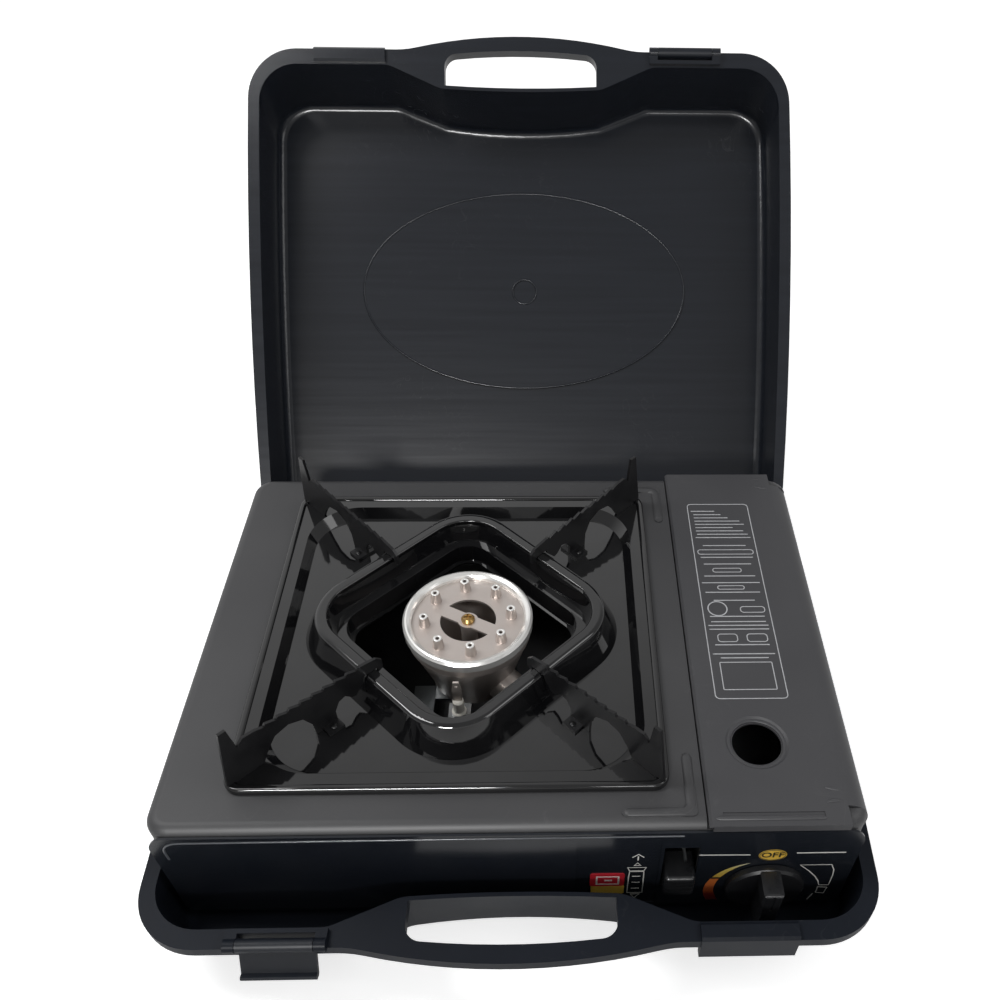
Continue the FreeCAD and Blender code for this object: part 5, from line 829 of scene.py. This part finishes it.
class STOVE_OT_pressed_beads(bpy.types.Operator):
    """Raise the pressed beads of the top plate, the sight hole and the lid's inside"""

    bl_idname = "stove.pressed_beads"
    bl_label = "Pressed beads"

    def execute(self, context):
        width = sizes().bead_width
        middle_x = BEAD_X - BEAD_BEND
        bend = [(middle_x + BEAD_BEND * math.cos(a), BEAD_BEND * math.sin(a)) for a in quarter_turn(6)]
        ends = [0.25, 0.75, 1.0]
        corners = (("front_bead", -86.5, -119.5, -1.0), ("rear_bead", 87.0, 115.5, 1.0))
        for name, tip_y, corner_y, side in corners:
            leg = [(BEAD_X, tip_y + side * step) for step in (0.0, 0.9, 2.6)]
            foot = [(BEAD_FOOT_END + step, corner_y) for step in (2.6, 0.9, 0.0)]
            arc = [(x, corner_y - side * BEAD_BEND + side * y) for x, y in bend]
            taper = ends + [1.0] * len(arc) + ends[::-1]
            piece = bead(name, leg + arc + foot, width, sizes().bead_height, "plate", taper=taper, steps=4)
            finish_piece(piece, "body_paint", "stove", BEAD_SMOOTH_DEG)

        x, z = PANEL_CORNER
        radius = PANEL_CORNER_RADIUS
        corner = [(x - radius * math.sin(a), z + radius * math.cos(a)) for a in quarter_turn(8)]
        path = [(82.0, 81.8), (-20.0, 81.5)] + corner + [(-163.0, 66.0)]
        # Real low bead along the panel's top bend, coloured light grey as a painted highlight of the glossy
        # bend
        edge = bead("panel_top_edge", path, 1.3 * MM, 0.5 * MM, "front", steps=4)
        finish_piece(edge, "panel_bend_highlight", "stove", BEAD_SMOOTH_DEG)

        path = oval(SIGHT_HOLE, SIGHT_RING_RADIUS, SIGHT_RING_RADIUS, 96)
        ring = bead("sight_hole_ring", path, 2.2 * MM, 0.5 * MM, "top", closed=True, steps=4)
        choose(ring)
        ring.location.z = -1.2 * MM
        finish_piece(settle(ring), "cover_paint", "cover", BEAD_SMOOTH_DEG)

        path = [(96.6, -124.4), (98.4, -124.4), (147.4, -124.6), (149.2, -124.6)]
        taper = [0.3, 1.0, 1.0, 0.3]
        rib = bead("cover_front_rib", path, 2.6 * MM, 0.7 * MM, "top", taper=taper, steps=4)
        finish_piece(rib, "cover_paint", "cover", BEAD_SMOOTH_DEG)
        creases = []
        for points in (((150.4, -116.6), (152.6, -115.7), (155.7, -115.4), (158.6, -116.0)),
                       ((151.0, -108.2), (154.6, -109.0), (158.4, -109.9)),
                       ((149.7, 124.2), (152.6, 124.0), (155.4, 123.8)),
                       ((149.2, 117.1), (154.2, 115.5), (158.8, 114.0))):
            taper = [0.3] + [1.0] * (len(points) - 2) + [0.3]
            creases.append(bead("cover_crease", points, 2.0 * MM, 0.5 * MM, "top", taper=taper, steps=4))
        finish_piece(join("cover_creases", creases), "cover_paint", "cover", BEAD_SMOOTH_DEG)

        rim = oval(LID_MARK, 116.0, 69.0, 160)
        mark = bead("lid_oval_mark", rim, 1.3 * MM, 0.45 * MM, "lid", closed=True, steps=3)
        rim = oval(LID_MARK, 8.6, 8.6, 48)
        gate = bead("lid_gate_mark", rim, 1.2 * MM, 0.5 * MM, "lid", closed=True, steps=3)
        for piece in (mark, gate):
            finish_piece(open_lid(piece), "case_lid", "lid", BEAD_SMOOTH_DEG)
        return {"FINISHED"}


class STOVE_OT_burner_tips(bpy.types.Operator):
    """Brighten the machined tips of the burner's nipples"""

    bl_idname = "stove.burner_tips"
    bl_label = "Burner tips"

    def execute(self, context):
        deselect()
        bpy.ops.mesh.primitive_torus_add(
            major_radius=1.72 * MM, minor_radius=0.66 * MM, major_segments=28, minor_segments=10,
            location=(0.0, 0.0, 0.0))
        pattern = active("nipple_tip")
        bpy.ops.object.mode_set(mode="EDIT")
        bpy.ops.mesh.select_all(action="SELECT")
        bpy.ops.transform.resize(value=(1.0, 1.0, 0.5), center_override=(0.0, 0.0, 0.0))
        bpy.ops.object.mode_set(mode="OBJECT")
        places = []
        for index in range(NIPPLES):
            angle = math.radians(FIRST_NIPPLE_DEG + 360 / NIPPLES * index)
            reach = Vector((math.cos(angle), math.sin(angle), 0.0)) * NIPPLE_CIRCLE
            places.append(Vector((*BURNER, NIPPLE_TIP_Z)) + reach)
        finish_piece(repeat("nipple_tips", pattern, places), "polished_steel", "stove")
        return {"FINISHED"}


class STOVE_OT_rivets(bpy.types.Operator):
    """Set the rivets through the pan supports' feet"""

    bl_idname = "stove.rivets"
    bl_label = "Support rivets"

    def execute(self, context):
        radius = sizes().rivet_radius
        deselect()
        bpy.ops.mesh.primitive_uv_sphere_add(
            segments=20, ring_count=10, radius=radius, location=(0.0, 0.0, 0.0))
        pattern = active("support_rivet")
        bpy.ops.object.mode_set(mode="EDIT")
        bpy.ops.mesh.select_all(action="SELECT")
        bpy.ops.mesh.bisect(
            plane_co=(0.0, 0.0, -0.2 * MM), plane_no=(0.0, 0.0, 1.0), use_fill=True, clear_inner=True)
        bpy.ops.mesh.select_all(action="SELECT")
        bpy.ops.transform.resize(value=(1.0, 1.0, 0.55), center_override=(0.0, 0.0, 0.0))
        bpy.ops.object.mode_set(mode="OBJECT")
        places = []
        for quarter in range(4):
            angle = math.radians(45 + 90 * quarter)
            along = Vector((math.cos(angle), math.sin(angle), 0.0))
            across = Vector((-math.sin(angle), math.cos(angle), 0.0))
            foot = Vector((*PAN_CENTRE, RIVET_Z)) + along * RIVET_REACH
            places += [foot - across * RIVET_SPREAD, foot + across * RIVET_SPREAD]
        finish_piece(repeat("support_rivets", pattern, places), "enamel_satin", "pan")
        return {"FINISHED"}


def aim(obj, target):
    direction = Vector(target) - obj.location
    obj.rotation_euler = direction.to_track_quat("-Z", "Y").to_euler()


def soft_lamp(name, place, target, size, power):
    data = bpy.data.lights.new(name, "AREA")
    data.shape = "RECTANGLE"
    data.size = size[0]
    data.size_y = size[1]
    data.energy = power
    lamp = bpy.data.objects.new(name, data)
    bpy.context.scene.collection.objects.link(lamp)
    lamp.location = place
    aim(lamp, target)
    return lamp


def background_material(name, colour):
    """Pale floor that takes shadows and is white to the camera, with a fainter glow in mirrors."""
    material, tree, shader = new_material(name)
    grain = node(tree, "ShaderNodeTexNoise")
    grain.inputs["Scale"].default_value = 3.0
    place = node(tree, "ShaderNodeTexCoord")
    tree.links.new(place.outputs["Object"], grain.inputs["Vector"])
    tint = blend_colours(tree, grain.outputs["Fac"], colour, lighten(colour, 0.05))
    tree.links.new(tint, shader.inputs["Base Color"])
    shader.inputs["Roughness"].default_value = 0.9
    shader.inputs["Specular IOR Level"].default_value = 0.1
    glow = node(tree, "ShaderNodeEmission")
    rays = node(tree, "ShaderNodeLightPath")
    mirrored = math_node(tree, "MULTIPLY", rays.outputs["Is Glossy Ray"], FLOOR_MIRRORED)
    seen = math_node(tree, "MAXIMUM", rays.outputs["Is Camera Ray"], mirrored)
    seen = math_node(tree, "MAXIMUM", seen, rays.outputs["Is Transmission Ray"])
    tree.links.new(math_node(tree, "MULTIPLY", seen, FLOOR_SEEN), glow.inputs["Strength"])
    both = node(tree, "ShaderNodeAddShader")
    out = tree.nodes["Material Output"]
    tree.links.new(shader.outputs[0], both.inputs[0])
    tree.links.new(glow.outputs[0], both.inputs[1])
    tree.links.new(both.outputs[0], out.inputs["Surface"])
    return material


class STOVE_OT_studio(bpy.types.Operator):
    """Set the pale floor, the soft lamps and the camera"""

    bl_idname = "stove.studio"
    bl_label = "Studio"

    def execute(self, context):
        scene = context.scene
        deselect()
        bpy.ops.mesh.primitive_plane_add(size=sizes().floor_size, location=(0.0, 0.0, 0.0))
        floor = active("studio_floor")
        floor.data.materials.append(background_material("Studio floor", (0.86, 0.86, 0.86, 1.0)))

        # Even light for matt faces. Mirrors see a bright sky at the back left and a dim one in front.
        world = bpy.data.worlds.new("Studio world")
        scene.world = world
        world.use_nodes = True
        tree = world.node_tree
        back = tree.nodes["Background"]
        back.inputs["Color"].default_value = (1.0, 1.0, 1.0, 1.0)
        rays = node(tree, "ShaderNodeLightPath")
        seen = math_node(tree, "MAXIMUM", rays.outputs["Is Camera Ray"], rays.outputs["Is Glossy Ray"])
        seen = math_node(tree, "MAXIMUM", seen, rays.outputs["Is Transmission Ray"])
        place = node(tree, "ShaderNodeTexCoord")
        side = node(tree, "ShaderNodeVectorMath", operation="DOT_PRODUCT")
        side.inputs[1].default_value = (-0.45, 0.89, 0.0)
        tree.links.new(place.outputs["Generated"], side.inputs[0])
        fall = node(tree, "ShaderNodeMapRange", interpolation_type="SMOOTHSTEP")
        fall.inputs["From Min"].default_value = 0.2
        fall.inputs["From Max"].default_value = 0.75
        tree.links.new(side.outputs["Value"], fall.inputs["Value"])
        shade = math_node(tree, "MAXIMUM", rays.outputs["Is Camera Ray"], fall.outputs[0])
        lit = math_node(tree, "MULTIPLY", seen, shade)
        level = math_node(tree, "ADD", math_node(tree, "MULTIPLY", lit, WORLD_SEEN), WORLD_PLAIN)
        tree.links.new(level, back.inputs["Strength"])

        soft_lamp("Key lamp", (-0.75, 0.1, 1.3), (0.0, 0.05, 0.05), (0.35, 0.6), 8.0)
        soft_lamp("Fill lamp", (1.1, -0.2, 1.2), (0.0, 0.0, 0.05), (0.8, 0.6), 4.0)
        soft_lamp("Front lamp", (0.25, -1.3, 0.8), (0.0, 0.1, 0.1), (0.3, 0.12), 2.5)
        # Seen in reflections only: glints on bends and fillets, and no light on matt colour
        glint = soft_lamp("Glint lamp", (-0.35, -1.3, 0.95), (0.0, 0.1, 0.1), (0.5, 0.12), 26.0)
        glint.visible_diffuse = False

        data = bpy.data.cameras.new("Photo camera")
        data.sensor_width = 36.0
        data.sensor_fit = "HORIZONTAL"
        data.lens = 33.565
        data.shift_x = -0.0846
        data.shift_y = 0.1013
        data.clip_start = 0.02
        data.clip_end = 60.0
        camera = bpy.data.objects.new("Photo camera", data)
        scene.collection.objects.link(camera)
        camera.matrix_world = camera_place()
        scene.camera = camera
        scene.view_settings.view_transform = "Standard"
        return {"FINISHED"}


def camera_place():
    """Camera pose: pitched down, slightly turned and rolled."""
    down_tilt = math.radians(CAMERA_TILT_DEG)
    turn = math.radians(CAMERA_TURN_DEG)
    roll = math.radians(CAMERA_ROLL_DEG)
    heading = Vector((math.sin(turn), math.cos(turn), 0.0))
    forward = heading * math.cos(down_tilt) - Vector((0.0, 0.0, math.sin(down_tilt)))
    right = Vector((math.cos(turn), -math.sin(turn), 0.0))
    down = forward.cross(right)
    side = right * math.cos(roll) + down * math.sin(roll)
    up = right * math.sin(roll) - down * math.cos(roll)
    pose = Matrix((side, up, -forward)).transposed().to_4x4()
    pose.translation = Vector(CAMERA_PLACE) * MM
    return pose


class STOVE_PT_panel(bpy.types.Panel):
    """Steps and settings of the stove's finish"""

    bl_label = "Cartridge stove"
    bl_idname = "STOVE_PT_panel"
    bl_space_type = "VIEW_3D"
    bl_region_type = "UI"
    bl_category = "Stove"

    def draw(self, context):
        layout = self.layout
        for group in (context.scene.stove_colours, context.scene.stove_sizes):
            box = layout.box()
            for name in group.bl_rna.properties.keys():
                if name not in ("rna_type", "name"):
                    box.prop(group, name)
        for step in steps:
            layout.operator(step.bl_idname)


steps = (
    STOVE_OT_finishes,
    STOVE_OT_dial_print,
    STOVE_OT_label_print,
    STOVE_OT_cover_print,
    STOVE_OT_pressed_beads,
    STOVE_OT_burner_tips,
    STOVE_OT_rivets,
    STOVE_OT_studio,
)
classes = (StoveColours, StoveSizes, *steps, STOVE_PT_panel)


def register():
    for item in classes:
        bpy.utils.register_class(item)
    bpy.types.Scene.stove_colours = bpy.props.PointerProperty(type=StoveColours)
    bpy.types.Scene.stove_sizes = bpy.props.PointerProperty(type=StoveSizes)


def unregister():
    del bpy.types.Scene.stove_sizes
    del bpy.types.Scene.stove_colours
    for item in reversed(classes):
        bpy.utils.unregister_class(item)


def main():
    register()
    for step in steps:
        group, name = step.bl_idname.split(".")
        getattr(getattr(bpy.ops, group), name)()


if __name__ == "__main__":
    main()
